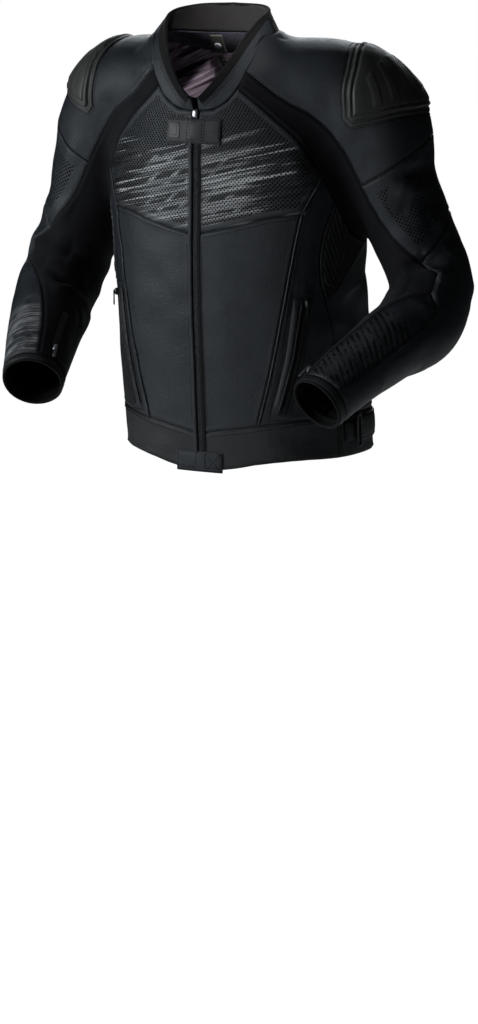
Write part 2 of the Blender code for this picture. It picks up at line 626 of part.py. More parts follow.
def cloth_panels(s, p, m):
    """The cloth grids of one side's pattern pieces."""
    def guide(rows):
        return s.place(rows)

    def down(angle, run0, run1, count=6):
        return guide([("arm", r, angle) for r in np.linspace(run0, run1, count)])

    tip, tip3, under = (np.repeat(p[name][None], 2, axis=0) for name in ("tip", "front3", "under"))
    outer = chain(m["sleeve_a"], m["sleeve_b"], m["sleeve_c"], m["sleeve_d"])
    armhole = chain(m["raglan_front"], m["armhole_front"], m["armhole_rib"], m["armhole_back"])
    inner = chain(armhole, m["back_b"], m["back_c"])
    raglan_back = m["raglan_back"][::-1]
    return {
        "chest": patch(m["neck_a"], m["v"], m["zip_chest"], chain(m["raglan_front"], m["piping_chest"])),
        "front": patch(m["v"], m["hem_a"], m["zip_front"], m["piping"]),
        "side": patch(m["armhole_front"], m["hem_b"], chain(m["piping_chest"], m["piping"]),
                      chain(m["rib_front"], m["side"])),
        "rib": patch(m["armhole_rib"], tip, m["rib_front"], m["rib_back"], finer=(2, 4), rounds=12),
        "side_back": patch(m["hem_c"], under, chain(m["side"][::-1], m["rib_back"][::-1], m["armhole_back"]),
                           m["back"][::-1]),
        "shoulder": patch(m["neck_c"], m["cross_1"], m["sleeve_a"], raglan_back,
                          [down(55, 0.065, 0.260), down(-10, 0.065, 0.243), down(-75, 0.065, 0.246)]),
        "upper_sleeve": patch(m["cross_1"], m["cross_2"], m["sleeve_b"], chain(m["raglan_low"][::-1], m["back_b"]),
                              [down(55, 0.260, 0.390), down(-10, 0.243, 0.356), down(-75, 0.246, 0.368)]),
        "elbow": patch(m["cross_2"], m["cuff_b"], chain(m["sleeve_c"], m["lower"]),
                       m["back_c"],
                       [down(0, 0.356, 0.71), down(-45, 0.36, 0.71), down(-85, 0.38, 0.71)]),
        "forearm": patch(m["cuff_a"], tip3, m["sleeve_d"][::-1], m["lower"][::-1]),
        "stretch_sleeve": patch(
            m["neck_b"], m["cuff_c"][::-1], inner, outer,
            stretch_guides(s, inner, outer), rounds=8, least=7),
    }


RIB_COUNT, RIB_HEIGHT = 9, 0.0022
TIP_BACK = 0.0016      # a pointed panel's tip is drawn back this far


def pointed(cloth):
    """A panel inset all round whose last row is a tip, drawn back a little."""
    cloth = inset(cloth)
    up = unit(cloth[-2, :, :3].mean(0) - cloth[-1, :, :3].mean(0))
    cloth[-1, :, :3] = cloth[-1, :, :3].mean(0) + up * TIP_BACK
    cloth[-1, :, 3:] = unit(cloth[-1, :, 3:].mean(0))
    return cloth


def rib_wall(name, cloth):
    """The accordion wedge: ribs raised over a plain inside, drawn together at the lower tip."""
    cloth = pointed(cloth)
    rows, columns = cloth.shape[:2]
    across, down = np.linspace(0, 1, columns), np.linspace(0, 1, rows)
    wave = (0.5 - 0.5 * np.cos(2 * np.pi * RIB_COUNT * across))[None]
    fade = np.clip(np.minimum(down, 1 - down) * 8, 0, 1)[:, None]
    return slab(name, cloth, -WALL, RIB_HEIGHT * wave * fade, "leather")


def wall(name, cloth, stuff, thick=WALL):
    return slab(name, inset(cloth), -thick, 0.0, stuff)


def plate(s, on, rows, columns, outline):
    """Small grid on the form.  The outline has a row for each column of it: place across, first and last
    place along; for the body across is the angle and along the height, for an arm the other way round."""
    outline = np.array(outline, float)
    across = np.linspace(outline[0, 0], outline[-1, 0], columns)
    knots = outline[:, 0] * np.sign(outline[-1, 0] - outline[0, 0])
    ends = spline(knots, outline[:, 1:3], across * np.sign(outline[-1, 0] - outline[0, 0]))
    spots = [(on, a + (b - a) * t, c) for t in np.linspace(0, 1, rows) for c, (a, b) in zip(across, ends)]
    return on_cloth(s.place(spots)).reshape(rows, columns, 6)


def bar(name, cloth, low, high, stuff, edge=0.5, full=None):
    """A plate or strap lying on the cloth, its rim thinner than its middle, except in the full column."""
    rows, columns = cloth.shape[:2]
    rim = np.ones((rows, columns))
    rim[0], rim[-1], rim[:, 0], rim[:, -1] = edge, edge, edge, edge
    if full is not None:
        rim[1:-1, full] = 1
    return slab(name, cloth, low, low + (high - low) * rim, stuff)


LIE = 0.0004           # what lies on a panel is this far above it


# Shoulder cup, by angle round the sleeve: the run of its neck-side edge and of its sleeve-side edge
CUP = (
    (99, 0.180, 0.196), (80, 0.158, 0.207), (55, 0.146, 0.214), (25, 0.139, 0.220), (-10, 0.140, 0.222),
    (-40, 0.150, 0.214), (-62, 0.166, 0.200),
)
CUP_PROFILE = (0.0015, 0.0026, 0.0070, 0.0082, 0.0084, 0.0082, 0.0070, 0.0026, 0.0015)
CUP_COLUMNS = 16
CUP_LIE = 0.0010        # clear of the shoulder


def shoulder_cup(s, hand):
    """Moulded cup: a thin flange sewn round a raised, slightly domed plate."""
    cloth = plate(s, "arm", len(CUP_PROFILE), CUP_COLUMNS, CUP)
    along = np.array(CUP_PROFILE)[:, None]
    ends = np.minimum(np.arange(CUP_COLUMNS), np.arange(CUP_COLUMNS)[::-1])
    across = np.array(CUP_PROFILE)[np.minimum(ends, 4)][None]
    slab(f"shoulder_cup_{hand}", cloth, CUP_LIE, CUP_LIE + np.minimum(along, across), "rubber")


# Slanting front pocket: height, angle of its front edge, angle of its back edge
POCKET_LIP = ((0.232, 52.5, 56.5), (0.150, 47.0, 50.6), (0.068, 38.5, 42.0))
POCKET_ZIP = ((0.232, 57.0, 60.5), (0.150, 51.1, 54.4), (0.068, 42.5, 45.5))


def upright(s, rows, columns, outline):
    """A standing strip on the body: its outline has a height and two angles in each row."""
    outline = np.array(outline, float)
    heights = np.linspace(outline[0, 0], outline[-1, 0], rows)
    ends = spline(-outline[:, 0], outline[:, 1:3], -heights)
    spots = [("body", z, a + (b - a) * t) for z, (a, b) in zip(heights, ends) for t in np.linspace(0, 1, columns)]
    return on_cloth(s.place(spots)).reshape(rows, columns, 6)


def block(name, cloth, place, size, low, stuff, taper=0.7):
    """A small hard piece standing on the cloth near a point: size is down, across and high."""
    centre, normal = cloth[:3], unit(cloth[3:])
    down = unit(place - normal * np.dot(place, normal))
    side = np.cross(normal, down)
    tall, wide, high = size
    corners = []
    for level, shrink in ((low, 1.0), (low + high * 0.55, 1.0), (low + high, taper)):
        for u, v in ((-1, -0.7), (-0.7, -1), (0.7, -1), (1, -0.7), (1, 0.7), (0.7, 1), (-0.7, 1), (-1, 0.7)):
            corners.append(centre + down * u * tall / 2 * shrink + side * v * wide / 2 * shrink + normal * level)
    faces = [tuple(range(8)), tuple(range(16, 24))]
    for ring in range(2):
        for k in range(8):
            a, b = ring * 8 + k, ring * 8 + (k + 1) % 8
            faces.append((a, b, b + 8, a + 8))
    return solid(name, corners, faces, stuff)


def pocket(s, hand):
    lip = upright(s, 9, 4, POCKET_LIP)
    bar(f"pocket_welt_{hand}", lip, LIE, 0.0040, "leather", edge=0.35)
    tape = upright(s, 9, 3, POCKET_ZIP)
    slab(f"pocket_zip_{hand}", tape, LIE, LIE + np.array([[0.001, 0.0022, 0.001]]), "tape")


# Waist adjuster on the hem band
ADJUSTER = ((0.056, 85.7, 126), (0.020, 85.7, 126))
ADJUSTER_TAB = ((0.052, 75.5, 83.1), (0.024, 75.5, 83.1))


def collar_rim(angles, sign):
    rows = np.array(RIM)
    x, y, z = spline(rows[:, 0], rows[:, 1:], angles).T
    lean = torso_row(z)[4]
    return np.stack([lean + sign * x, y, z], axis=1)


def foot_angle(points, sign):
    _, _, _, middle, lean, _ = torso_row(points[:, 2])
    return np.degrees(np.arctan2(sign * (points[:, 0] - lean), -(points[:, 1] - middle))) % 360


# Collar's upper edge by angle: across from the lean line, y and height
RIM = (
    (0, 0.004, -0.1375, 0.500), (17, 0.021, -0.132, 0.516), (28, 0.036, -0.123, 0.535),
    (40, 0.050, -0.109, 0.557), (55, 0.064, -0.088, 0.585), (72, 0.074, -0.064, 0.606),
    (95, 0.077, -0.040, 0.617), (130, 0.057, -0.008, 0.625), (180, 0.000, 0.004, 0.628),
)
COLLAR_ROWS = 4
COLLAR_SPLIT = 84      # where the leather front of the collar meets its soft back
BAND = 0.0022


def collar_grid(foot, sign_of):
    """Columns follow the neckline, rows climb to the rim; the outward side faces away from the neck."""
    columns = []
    for point, sign in zip(foot, sign_of):
        angle = foot_angle(point[None], sign)[0]
        angle = min(angle, 180.0)
        columns.append(np.linspace(point, collar_rim([angle], sign)[0], COLLAR_ROWS))
    p = np.stack(columns, axis=1)
    n = unit(np.cross(np.gradient(p, axis=1), np.gradient(p, axis=0)))
    middle = p.mean((0, 1))
    if ((p - middle) * n).sum() < 0:
        n = -n
    n[0] = unit(slope(foot))                       # square to the panels it is sewn to
    return np.concatenate([p, n], axis=2)


def front_grid(across, heights, field=form):
    """Grid over the front, given by distances from the middle and by heights."""
    heights = np.asarray(heights, float)
    middle = torso_row(heights)[3]
    start = np.array([[x, y, z] for y, z in zip(middle, heights) for x in across])
    hits = cast(start, np.tile([0.0, -1.0, 0.0], (len(start), 1)), field=field)
    return on_cloth(hits).reshape(len(heights), len(across), 6)


def upside(cloth):
    """The same grid seen from inside, so that heights count inwards."""
    return np.concatenate([cloth[..., :3], -cloth[..., 3:]], axis=-1)


# ---------------------------------------------------------------- pieces of the whole jacket
ZIP_TAPE_HALF, ZIP_CHAIN_HALF = 0.0135, 0.0026
UNDER = 0.0006                    # the zip's tape is this far under the panels
INSIDE = WALL + 0.0025            # the lining hangs this far under the panels' outer face
MESH_DROP = (0.001, 0.012, 0.023, 0.034)
MESH_DEPTH = (INSIDE, INSIDE, INSIDE, INSIDE)
LINING_DROP = (0.0355, 0.052, 0.075, 0.102, 0.130)
LINING_DEPTH = (INSIDE, INSIDE + 0.0010, INSIDE + 0.0020, INSIDE + 0.0030, INSIDE + 0.0035)
LINING_COLUMNS, LINING_START = 25, 60


def main_zip(left, right):
    """Tape under both fronts with the closed chain standing in the slot between them."""
    heights = chain(left["zip_chest"], left["zip_front"], left["zip_hem"])[:, 2]
    heights[0] -= 0.0005
    across = np.array([-ZIP_TAPE_HALF, -0.0031, -ZIP_CHAIN_HALF, 0, ZIP_CHAIN_HALF, 0.0031, ZIP_TAPE_HALF])
    cloth = front_grid(across, heights)
    deep = -(WALL + UNDER)
    high = np.array([deep, deep, -0.0008, -0.0004, -0.0008, deep, deep])[None]
    slab("main_zip", cloth, deep - 0.0010, high, "tape")
    slider = front_grid([0.0], [0.4812])[0, 0]
    block("main_zip_slider", slider, np.array([0.0, 0.0, -1.0]), (0.0115, 0.0080, 0.0042), 0.0007, "metal")


THROAT_X, THROAT_Z = (-0.047, 0.039), (0.4745, 0.4400)
HEM_TAB_X, HEM_TAB_Z = (-0.038, 0.034), (0.0125, -0.0165)


def front_straps():
    """Strap buttoned over the top of the zip, and the tab over its foot."""
    throat = front_grid(np.linspace(*THROAT_X, 12), np.linspace(*THROAT_Z, 6))
    x = np.linspace(*THROAT_X, 12)[None]
    swell = 0.0026 + 0.0022 * np.exp(-((x / 0.010) ** 2)) + np.zeros((6, 1))
    swell[0], swell[-1], swell[:, 0], swell[:, -1] = 0.0016, 0.0016, 0.0016, 0.0016
    slab("throat_strap", throat, LIE, swell, "leather")
    tab = front_grid(np.linspace(*HEM_TAB_X, 10), np.linspace(*HEM_TAB_Z, 5))
    bar("hem_tab", tab, LIE, 0.0030, "leather")


def neck_walk(foot, distances):
    """Rows of points that walk away from the neckline along the form."""
    rows, p, gone = [], foot.copy(), 0.0
    away = unit(foot - np.array([torso_row(foot[:, 2])[4], torso_row(foot[:, 2])[3], foot[:, 2]]).T)
    wish = unit(away * 0.65 + np.array([0, 0, -0.76]))
    for d in distances:
        while gone < d - 1e-9:
            hop = min(0.006, d - gone)
            n = unit(slope(p))
            p = settle(p + unit(wish - n * (wish * n).sum(1, keepdims=True)) * hop, steps=2)
            gone += hop
        rows.append(p.copy())
    return on_cloth(np.concatenate(rows)).reshape(len(distances), len(foot), 6)


def neck_inside(foot):
    """Mesh strip below the collar and the lining below it, where they show through the neck."""
    angles = np.where(foot[:, 0] > torso_row(foot[:, 2])[4], foot_angle(foot, 1), 360 - foot_angle(foot, -1))
    for name, start, drop, depth, stuff in (
        ("neck_mesh", NECK_STRIP_IN - 1, MESH_DROP, MESH_DEPTH, "mesh"),
        ("neck_lining", LINING_START, LINING_DROP, LINING_DEPTH, "lining"),
    ):
        part = foot[(angles > start) & (angles < 360 - start)]
        cloth = neck_walk(settle(through(part, LINING_COLUMNS)), drop)
        depth = np.array(depth)[:, None]
        slab(name, cloth, -depth - 0.0010, -depth, stuff)


TAB_Z, TAB_ANGLES = (0.586, 0.560), (-144.5, -159.5)
LABEL_Z, LABEL_ANGLES = (0.5525, 0.5405), (-148.0, -159.0)
SNAP_Z, SNAP_ANGLE = 0.571, -152.0


def neck_tab(s):
    """Loop tab with a snap, and a bare label, on the inside of the back of the neck."""
    def inner(heights, angles, rows, columns):
        grid = upright(s, rows, columns, ((heights[0], *angles), (heights[1], *angles)))
        return upside(grid)

    low = INSIDE + 0.0010 + 0.0007
    slab("neck_tab", inner(TAB_Z, TAB_ANGLES, 4, 3), low, low + 0.0018, "leather")
    snap = inner((SNAP_Z, SNAP_Z - 0.001), (SNAP_ANGLE, SNAP_ANGLE - 0.1), 2, 2)[0, 0]
    block("neck_tab_snap", snap, np.array([0.0, 0.0, -1.0]), (0.0110, 0.0110, 0.0028), low + 0.0021, "dark_metal")
    slab("size_label", inner(LABEL_Z, LABEL_ANGLES, 3, 3), low + 0.0014, low + 0.0022, "tape")


def build_collar(foot):
    signs = np.where(foot[:, 0] > torso_row(foot[:, 2])[4], 1, -1)
    angles = np.array([foot_angle(q[None], g)[0] for q, g in zip(foot, signs)])
    whole = collar_grid(foot, signs)
    front_left = int(np.abs(np.where(signs > 0, angles, 999) - COLLAR_SPLIT).argmin())
    front_right = int(np.abs(np.where(signs < 0, angles, 999) - COLLAR_SPLIT).argmin())
    pieces = (
        ("collar_left", whole[:, : front_left + 1], "leather"),
        ("collar_back", whole[:, front_left : front_right + 1], "soft"),
        ("collar_right", whole[:, front_right:], "leather"),
    )
    for name, grid, stuff in pieces:
        slab(name, inset(grid), -BAND, 0.0, stuff)
    slab("collar_facing", inset(whole), -(BAND + LIE + THIN), -(BAND + LIE), "soft")


# ---------------------------------------------------------------- hem, cuffs, fastenings
def hem_bands(sides, hem_back_top):
    for s, hand in zip(SIDES, ("left", "right")):
        p, m, _ = sides[hand]
        top = chain(m["hem_a"], m["hem_b"])
        low_side = s.ring(HEM_LOW, [SIDE_HEM])[0]
        low = seam(np.concatenate([p["low_zip"][None], s.ring(HEM_LOW, np.linspace(4, SIDE_HEM, 9)[:-1]),
                                   low_side[None]]))
        wall(f"hem_front_{hand}", patch(top, low, m["zip_hem"], seam(np.array([p["hem_side"], low_side]))),
             "leather")
    left, right = sides["left"], sides["right"]
    top = chain(left[1]["hem_c"], hem_back_top, right[1]["hem_c"][::-1])
    angles = np.linspace(SIDE_HEM, 180, 12)
    low = np.concatenate([SIDES[0].ring(HEM_LOW, angles), SIDES[1].ring(HEM_LOW, angles[::-1][1:])])
    low = seam(low)
    ends = [seam(np.array([side[0]["hem_side"], s.ring(HEM_LOW, [SIDE_HEM])[0]]))
            for side, s in ((left, SIDES[0]), (right, SIDES[1]))]
    wall("hem_back", patch(top, low, ends[0], ends[1]), "leather")


RING = (0.038, 84.4, 0.0250, 2.30, 0.0205, 1.00)    # middle height and angle, outer and inner half sizes


def adjuster(s, hand):
    """Waist adjuster: tab, ring and strap, lying on the hem band."""
    bar(f"adjuster_tab_{hand}", upright(s, 5, 4, ADJUSTER_TAB), LIE, 0.0040, "leather", full=-1)
    bar(f"adjuster_strap_{hand}", upright(s, 5, 12, ADJUSTER), LIE, 0.0040, "leather", full=0)
    z0, a0, tall, wide, tall_in, wide_in = RING
    turn = np.linspace(0, 2 * np.pi, 16, endpoint=False) + np.pi / 16
    loops = []
    for h, w in ((tall, wide), (tall_in, wide_in)):
        c, d = np.cos(turn), np.sin(turn)
        loops.append([("body", z0 + h * np.sign(c) * abs(c) ** 0.4, a0 + w * np.sign(d) * abs(d) ** 0.4)
                      for c, d in zip(c, d)])
    cloth = on_cloth(s.place(loops[0] + loops[1])).reshape(2, 16, 6)
    slab(f"adjuster_ring_{hand}", cloth, 0.0044, 0.0074, "dark_metal", around=True)


def cuff_band(s, hand, m):
    loop = chain(m["cuff_a"], m["cuff_b"], m["cuff_c"][::-1])[:-1]
    k = s.sleeve.locate(loop)
    rel = loop - s.sleeve.at(s.sleeve.mid, k)
    angles = np.degrees(np.arctan2((rel * s.sleeve.at(s.sleeve.front, k)).sum(1),
                                   (rel * s.sleeve.at(s.sleeve.top, k)).sum(1)))
    end = s.place([("arm", LEFT.run[-1] - 0.002, a) for a in angles])
    cloth = on_cloth(np.concatenate([loop, end])).reshape(2, len(loop), 6)
    cloth[0, :, :3] += unit(cloth[1, :, :3] - cloth[0, :, :3]) * SEAM_GAP / 2
    slab(f"cuff_band_{hand}", cloth, -WALL, 0.0, "leather", around=True)


PULL = (0.022, 0.0052, 0.0014)         # zip pull: long, wide, thick
POCKET_SLIDER = ("body", 0.2240, 58.2)
CUFF_SLIDER = ("arm", 0.690, 148)


def zip_pull(name, pivot, hang, outward):
    """Flat pull from its pivot: the hinge runs across, the pull hangs along hang; returns the hinge's axis."""
    across = unit(np.cross(hang, outward))
    long, wide, thick = PULL
    outline = ((-0.0006, 0.7), (0.0, 0.9), (0.004, 1.0), (0.008, 0.7), (long * 0.8, 1.0), (long - 0.0012, 0.6))
    points, faces = [], []
    for along, share in outline:
        for side, level in ((-1, -1), (1, -1), (1, 1), (-1, 1)):
            points.append(pivot + hang * along + across * side * share * wide / 2 + outward * level * thick / 2)
    for k in range(len(outline) - 1):
        for e in range(4):
            a, b = 4 * k + e, 4 * k + (e + 1) % 4
            faces.append((a, b, b + 4, a + 4))
    faces += [(0, 1, 2, 3), tuple(range(len(points) - 4, len(points)))]
    solid(name, points, faces, "metal")
    return across


def zip_end(s, label, hand, spot, down, low, plumb):
    """Slider standing on the cloth with its pull; prints nothing and returns pivot and axis."""
    cloth = on_cloth(s.place([spot]))[0]
    normal = unit(cloth[3:])
    along = unit(down - normal * np.dot(down, normal))
    block(f"{label}_slider_{hand}", cloth, along, (0.0100, 0.0062, 0.0036), low, "dark_metal")
    hang = np.array([0.0, 0.0, -1.0]) if plumb else along
    outward = unit(normal - hang * np.dot(normal, hang))
    pivot = cloth[:3] + normal * (low + 0.0036 + 0.0004 + PULL[2] / 2) - along * 0.002
    across = zip_pull(f"{label}_pull_{hand}", pivot, hang, outward)
    return pivot - HOLD, across


def build_body():
    sides = {}
    for s, hand in zip(SIDES, ("left", "right")):
        p, m = side_seams(s)
        panels = cloth_panels(s, p, m)
        sides[hand] = (p, m, panels)
        for name, cloth in panels.items():
            if name == "rib":
                rib_wall(f"{name}_{hand}", cloth)
            elif name in ("forearm", "side_back"):
                slab(f"{name}_{hand}", pointed(cloth), -WALL, 0.0, "leather")
            else:
                wall(f"{name}_{hand}", cloth, "stretch" if name == "stretch_sleeve" else "leather")
        shoulder_cup(s, hand)
        pocket(s, hand)
        adjuster(s, hand)
        cuff_band(s, hand, m)
        hinges = (
            zip_end(s, "pocket", hand, POCKET_SLIDER, np.array([0.0, 0.0, -1.0]), 0.0030, True),
            zip_end(s, "cuff", hand, CUFF_SLIDER, s.sleeve.along[-1], LIE, False),
        )
        for label, (pivot, axis) in zip(("pocket", "cuff"), hinges):
            print("hinge", label, hand, pivot.round(5).tolist(), axis.round(5).tolist())
    left, right = sides["left"], sides["right"]
    main_zip(left[1], right[1])
    front_straps()
    neck_back = seam(np.concatenate([left[0]["neck_back"][None], SIDES[0].ring(NECK, (152, 166, 180)),
                                     SIDES[1].ring(NECK, (166, 152)), right[0]["neck_back"][None]]))
    hem_back_top = seam(np.concatenate([left[0]["hem_back"][None], SIDES[0].ring(HEM_TOP, (145, 162, 180)),
                                        SIDES[1].ring(HEM_TOP, (162, 145)), right[0]["hem_back"][None]]))
    backs = [chain(side[1]["raglan_back"][::-1], side[1]["raglan_low"][::-1], side[1]["back"])
             for side in (left, right)]
    wall("back", patch(neck_back, hem_back_top, *backs), "leather")
    hem_bands(sides, hem_back_top)
    halves = [chain(side[1]["neck_a"], side[1]["neck_b"], side[1]["neck_c"]) for side in (left, right)]
    foot = chain(halves[0], neck_back, halves[1][::-1])
    build_collar(foot)
    neck_inside(foot)
    neck_tab(SIDES[0])


if __name__ == "__main__":
    for thing in list(bpy.data.objects):
        bpy.data.objects.remove(thing)
    build_body()
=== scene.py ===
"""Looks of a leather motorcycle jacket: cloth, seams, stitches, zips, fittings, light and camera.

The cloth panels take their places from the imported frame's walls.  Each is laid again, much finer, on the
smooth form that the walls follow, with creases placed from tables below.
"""
import math

import bmesh
import bpy
import numpy as np
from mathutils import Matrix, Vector
from mathutils.bvhtree import BVHTree


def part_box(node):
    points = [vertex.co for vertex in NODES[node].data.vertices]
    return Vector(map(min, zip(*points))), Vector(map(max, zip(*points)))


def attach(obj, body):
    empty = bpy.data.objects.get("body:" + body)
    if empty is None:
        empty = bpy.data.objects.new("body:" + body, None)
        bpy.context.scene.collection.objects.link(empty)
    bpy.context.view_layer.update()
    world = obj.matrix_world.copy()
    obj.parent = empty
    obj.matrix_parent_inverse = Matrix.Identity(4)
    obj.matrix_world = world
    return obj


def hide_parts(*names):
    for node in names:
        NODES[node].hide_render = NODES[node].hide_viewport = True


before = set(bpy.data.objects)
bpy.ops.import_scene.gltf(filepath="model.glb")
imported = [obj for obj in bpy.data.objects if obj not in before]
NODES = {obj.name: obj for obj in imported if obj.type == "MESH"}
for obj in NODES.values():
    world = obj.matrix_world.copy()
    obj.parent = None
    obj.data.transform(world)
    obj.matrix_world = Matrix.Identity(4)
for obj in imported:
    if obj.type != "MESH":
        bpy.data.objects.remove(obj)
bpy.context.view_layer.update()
HOLD = np.array([0.0, -0.045, 0.545])      # origin of the object, in the pattern's frame used below
BLEND = 0.028                              # how far the sleeves melt into the torso
BACKING = 0.0021                           # depth of a panel's inner face under its outer one

# Torso loft: height above the hem, half width, front depth, back depth, middle, sideways lean, squareness
TORSO_ROWS = (
    # z      wide    front   back    middle  lean    square
    (-0.06, 0.175, 0.150, 0.138, 0.030, 0.000, 2.35),
    (0.00, 0.175, 0.150, 0.138, 0.030, 0.000, 2.35),
    (0.06, 0.177, 0.149, 0.132, 0.024, 0.000, 2.35),
    (0.13, 0.180, 0.145, 0.124, 0.015, 0.000, 2.35),
    (0.21, 0.178, 0.140, 0.117, 0.004, 0.000, 2.40),
    (0.30, 0.182, 0.138, 0.120, 0.000, 0.000, 2.40),
    (0.38, 0.188, 0.134, 0.126, -0.002, 0.000, 2.40),
    (0.44, 0.180, 0.126, 0.122, -0.010, 0.000, 2.35),
    (0.50, 0.150, 0.104, 0.108, -0.026, -0.002, 2.25),
    (0.545, 0.116, 0.082, 0.085, -0.042, -0.006, 2.15),
    (0.58, 0.095, 0.070, 0.066, -0.052, -0.010, 2.10),
    (0.62, 0.086, 0.060, 0.058, -0.055, -0.013, 2.00),
    (0.70, 0.084, 0.058, 0.055, -0.055, -0.014, 2.00),
)

# Sleeve tubes: middle of the sleeve, its radius sideways (towards shoulder top) and to the front
SLEEVE_LEFT = (
    # x      y       z      top    front
    (0.020, -0.040, 0.522, 0.056, 0.060),
    (0.100, -0.028, 0.522, 0.062, 0.074),
    (0.160, -0.012, 0.508, 0.072, 0.078),
    (0.205, 0.000, 0.466, 0.077, 0.074),
    (0.228, 0.010, 0.390, 0.063, 0.066),
    (0.256, 0.022, 0.315, 0.058, 0.062),
    (0.282, 0.024, 0.250, 0.057, 0.062),
    (0.289, -0.015, 0.203, 0.055, 0.060),
    (0.272, -0.080, 0.175, 0.051, 0.051),
    (0.246, -0.145, 0.142, 0.045, 0.043),
    (0.222, -0.207, 0.106, 0.040, 0.038),
)
SLEEVE_RIGHT = (
    # x       y       z      top    front
    (-0.020, -0.040, 0.522, 0.056, 0.060),
    (-0.100, -0.028, 0.522, 0.062, 0.074),
    (-0.160, -0.012, 0.508, 0.072, 0.078),
    (-0.205, 0.000, 0.466, 0.077, 0.074),
    (-0.238, 0.008, 0.390, 0.065, 0.067),
    (-0.261, 0.012, 0.320, 0.059, 0.063),
    (-0.285, 0.006, 0.258, 0.057, 0.062),
    (-0.286, -0.030, 0.212, 0.056, 0.062),
    (-0.268, -0.085, 0.176, 0.054, 0.056),
    (-0.248, -0.140, 0.140, 0.048, 0.050),
    (-0.230, -0.190, 0.102, 0.042, 0.043),
)
AXIS_STEPS = 96        # samples along a sleeve's middle line


def unit(v):
    return v / np.maximum(np.linalg.norm(v, axis=-1, keepdims=True), 1e-12)


def spline(knots, rows, at):
    """Smooth curve through rows at the given knots, with the slopes of a Catmull-Rom curve."""
    knots, rows, at = np.asarray(knots, float), np.asarray(rows, float), np.asarray(at, float)
    rows = rows.reshape(len(knots), -1)
    slope = np.gradient(rows, knots, axis=0)
    at = np.clip(at, knots[0], knots[-1])
    i = np.clip(np.searchsorted(knots, at, side="right") - 1, 0, len(knots) - 2)
    span = knots[i + 1] - knots[i]
    t = ((at - knots[i]) / span)[:, None]
    h = span[:, None]
    return (
        (2 * t**3 - 3 * t**2 + 1) * rows[i]
        + (t**3 - 2 * t**2 + t) * h * slope[i]
        + (-2 * t**3 + 3 * t**2) * rows[i + 1]
        + (t**3 - t**2) * h * slope[i + 1]
    )


def chord_lengths(points):
    steps = np.linalg.norm(np.diff(points, axis=0), axis=1)
    return np.concatenate(([0.0], np.cumsum(steps)))


def through(points, count):
    """Curve through a few points, read again at equal steps."""
    points = np.asarray(points, float)
    fine = spline(chord_lengths(points), points, np.linspace(0, chord_lengths(points)[-1], 40 * len(points)))
    run = chord_lengths(fine)
    at = np.linspace(0, run[-1], count)
    return np.stack([np.interp(at, run, fine[:, k]) for k in range(3)], axis=1)


# ---------------------------------------------------------------- the form
class Sleeve:
    """A tube with an oval section round a smooth middle line."""

    def __init__(self, rows):
        rows = np.array(rows)
        run = chord_lengths(rows[:, :3])
        self.run = np.linspace(0, run[-1], AXIS_STEPS)
        self.mid = spline(run, rows[:, :3], self.run)
        self.radius = spline(run, rows[:, 3:5], self.run)
        along = unit(np.gradient(self.mid, axis=0))
        # The section's axes are carried along the line without twist, starting with "top" upwards.
        top = np.zeros_like(along)
        up = np.array([0.0, 0.0, 1.0])
        for k in range(AXIS_STEPS):
            last = up if k == 0 else top[k - 1]
            top[k] = unit(last - along[k] * np.dot(last, along[k]))
        self.along, self.top = along, top
        side = np.cross(along, top)
        self.front = side if side[0, 1] < 0 else -side

    def locate(self, p):
        """Nearest place on the middle line for each point: step number as a real number."""
        d = ((p**2).sum(1)[:, None] - 2 * p @ self.mid.T) + (self.mid**2).sum(1)[None]
        k = np.clip(d.argmin(1), 1, AXIS_STEPS - 2)
        rows = np.arange(len(p))
        a, b, c = d[rows, k - 1], d[rows, k], d[rows, k + 1]
        bend = np.maximum(a - 2 * b + c, 1e-12)
        return k + np.clip(0.5 * (a - c) / bend, -1, 1)

    def at(self, table, k):
        i = np.clip(np.floor(k).astype(int), 0, AXIS_STEPS - 2)
        t = (k - i)[:, None]
        return table[i] * (1 - t) + table[i + 1] * t

    def field(self, p):
        k = self.locate(p)
        mid, radius = self.at(self.mid, k), self.at(self.radius, k)
        rel = p - mid
        along = unit(self.at(self.along, k))
        x = (rel * self.at(self.top, k)).sum(1) / radius[:, 0]
        y = (rel * self.at(self.front, k)).sum(1) / radius[:, 1]
        z = (rel * along).sum(1) / radius[:, 0]
        q = np.sqrt(x * x + y * y + z * z)
        return np.linalg.norm(rel, axis=1) * (1 - 1 / np.maximum(q, 1e-6))

    def ray(self, run, angle):
        """Start and direction of the ray at a distance along the line; 0 is the top, 90 the front."""
        k = np.interp(run, self.run, np.arange(AXIS_STEPS)).reshape(-1)
        a = np.radians(np.asarray(angle, float)).reshape(-1, 1)
        way = np.cos(a) * self.at(self.top, k) + np.sin(a) * self.at(self.front, k)
        return self.at(self.mid, k), unit(way)


def torso_row(z):
    rows = np.array(TORSO_ROWS)
    return spline(rows[:, 0], rows[:, 1:], z).T


def torso_field(p):
    wide, front, back, middle, lean, square = torso_row(p[:, 2])
    x, y = p[:, 0] - lean, p[:, 1] - middle
    deep = np.where(y < 0, front, back)
    q = (np.abs(x / wide) ** square + np.abs(y / deep) ** square) ** (1 / square)
    return np.hypot(x, y) * (1 - 1 / np.maximum(q, 1e-6))


def soft_min(a, b, k=BLEND):
    h = np.clip(0.5 + 0.5 * (b - a) / k, 0, 1)
    return b * (1 - h) + a * h - k * h * (1 - h)


LEFT, RIGHT = Sleeve(SLEEVE_LEFT), Sleeve(SLEEVE_RIGHT)


def form(p):
    """Negative inside the jacket, zero on its outer face."""
    p = np.asarray(p, float)
    return soft_min(soft_min(torso_field(p), LEFT.field(p)), RIGHT.field(p))


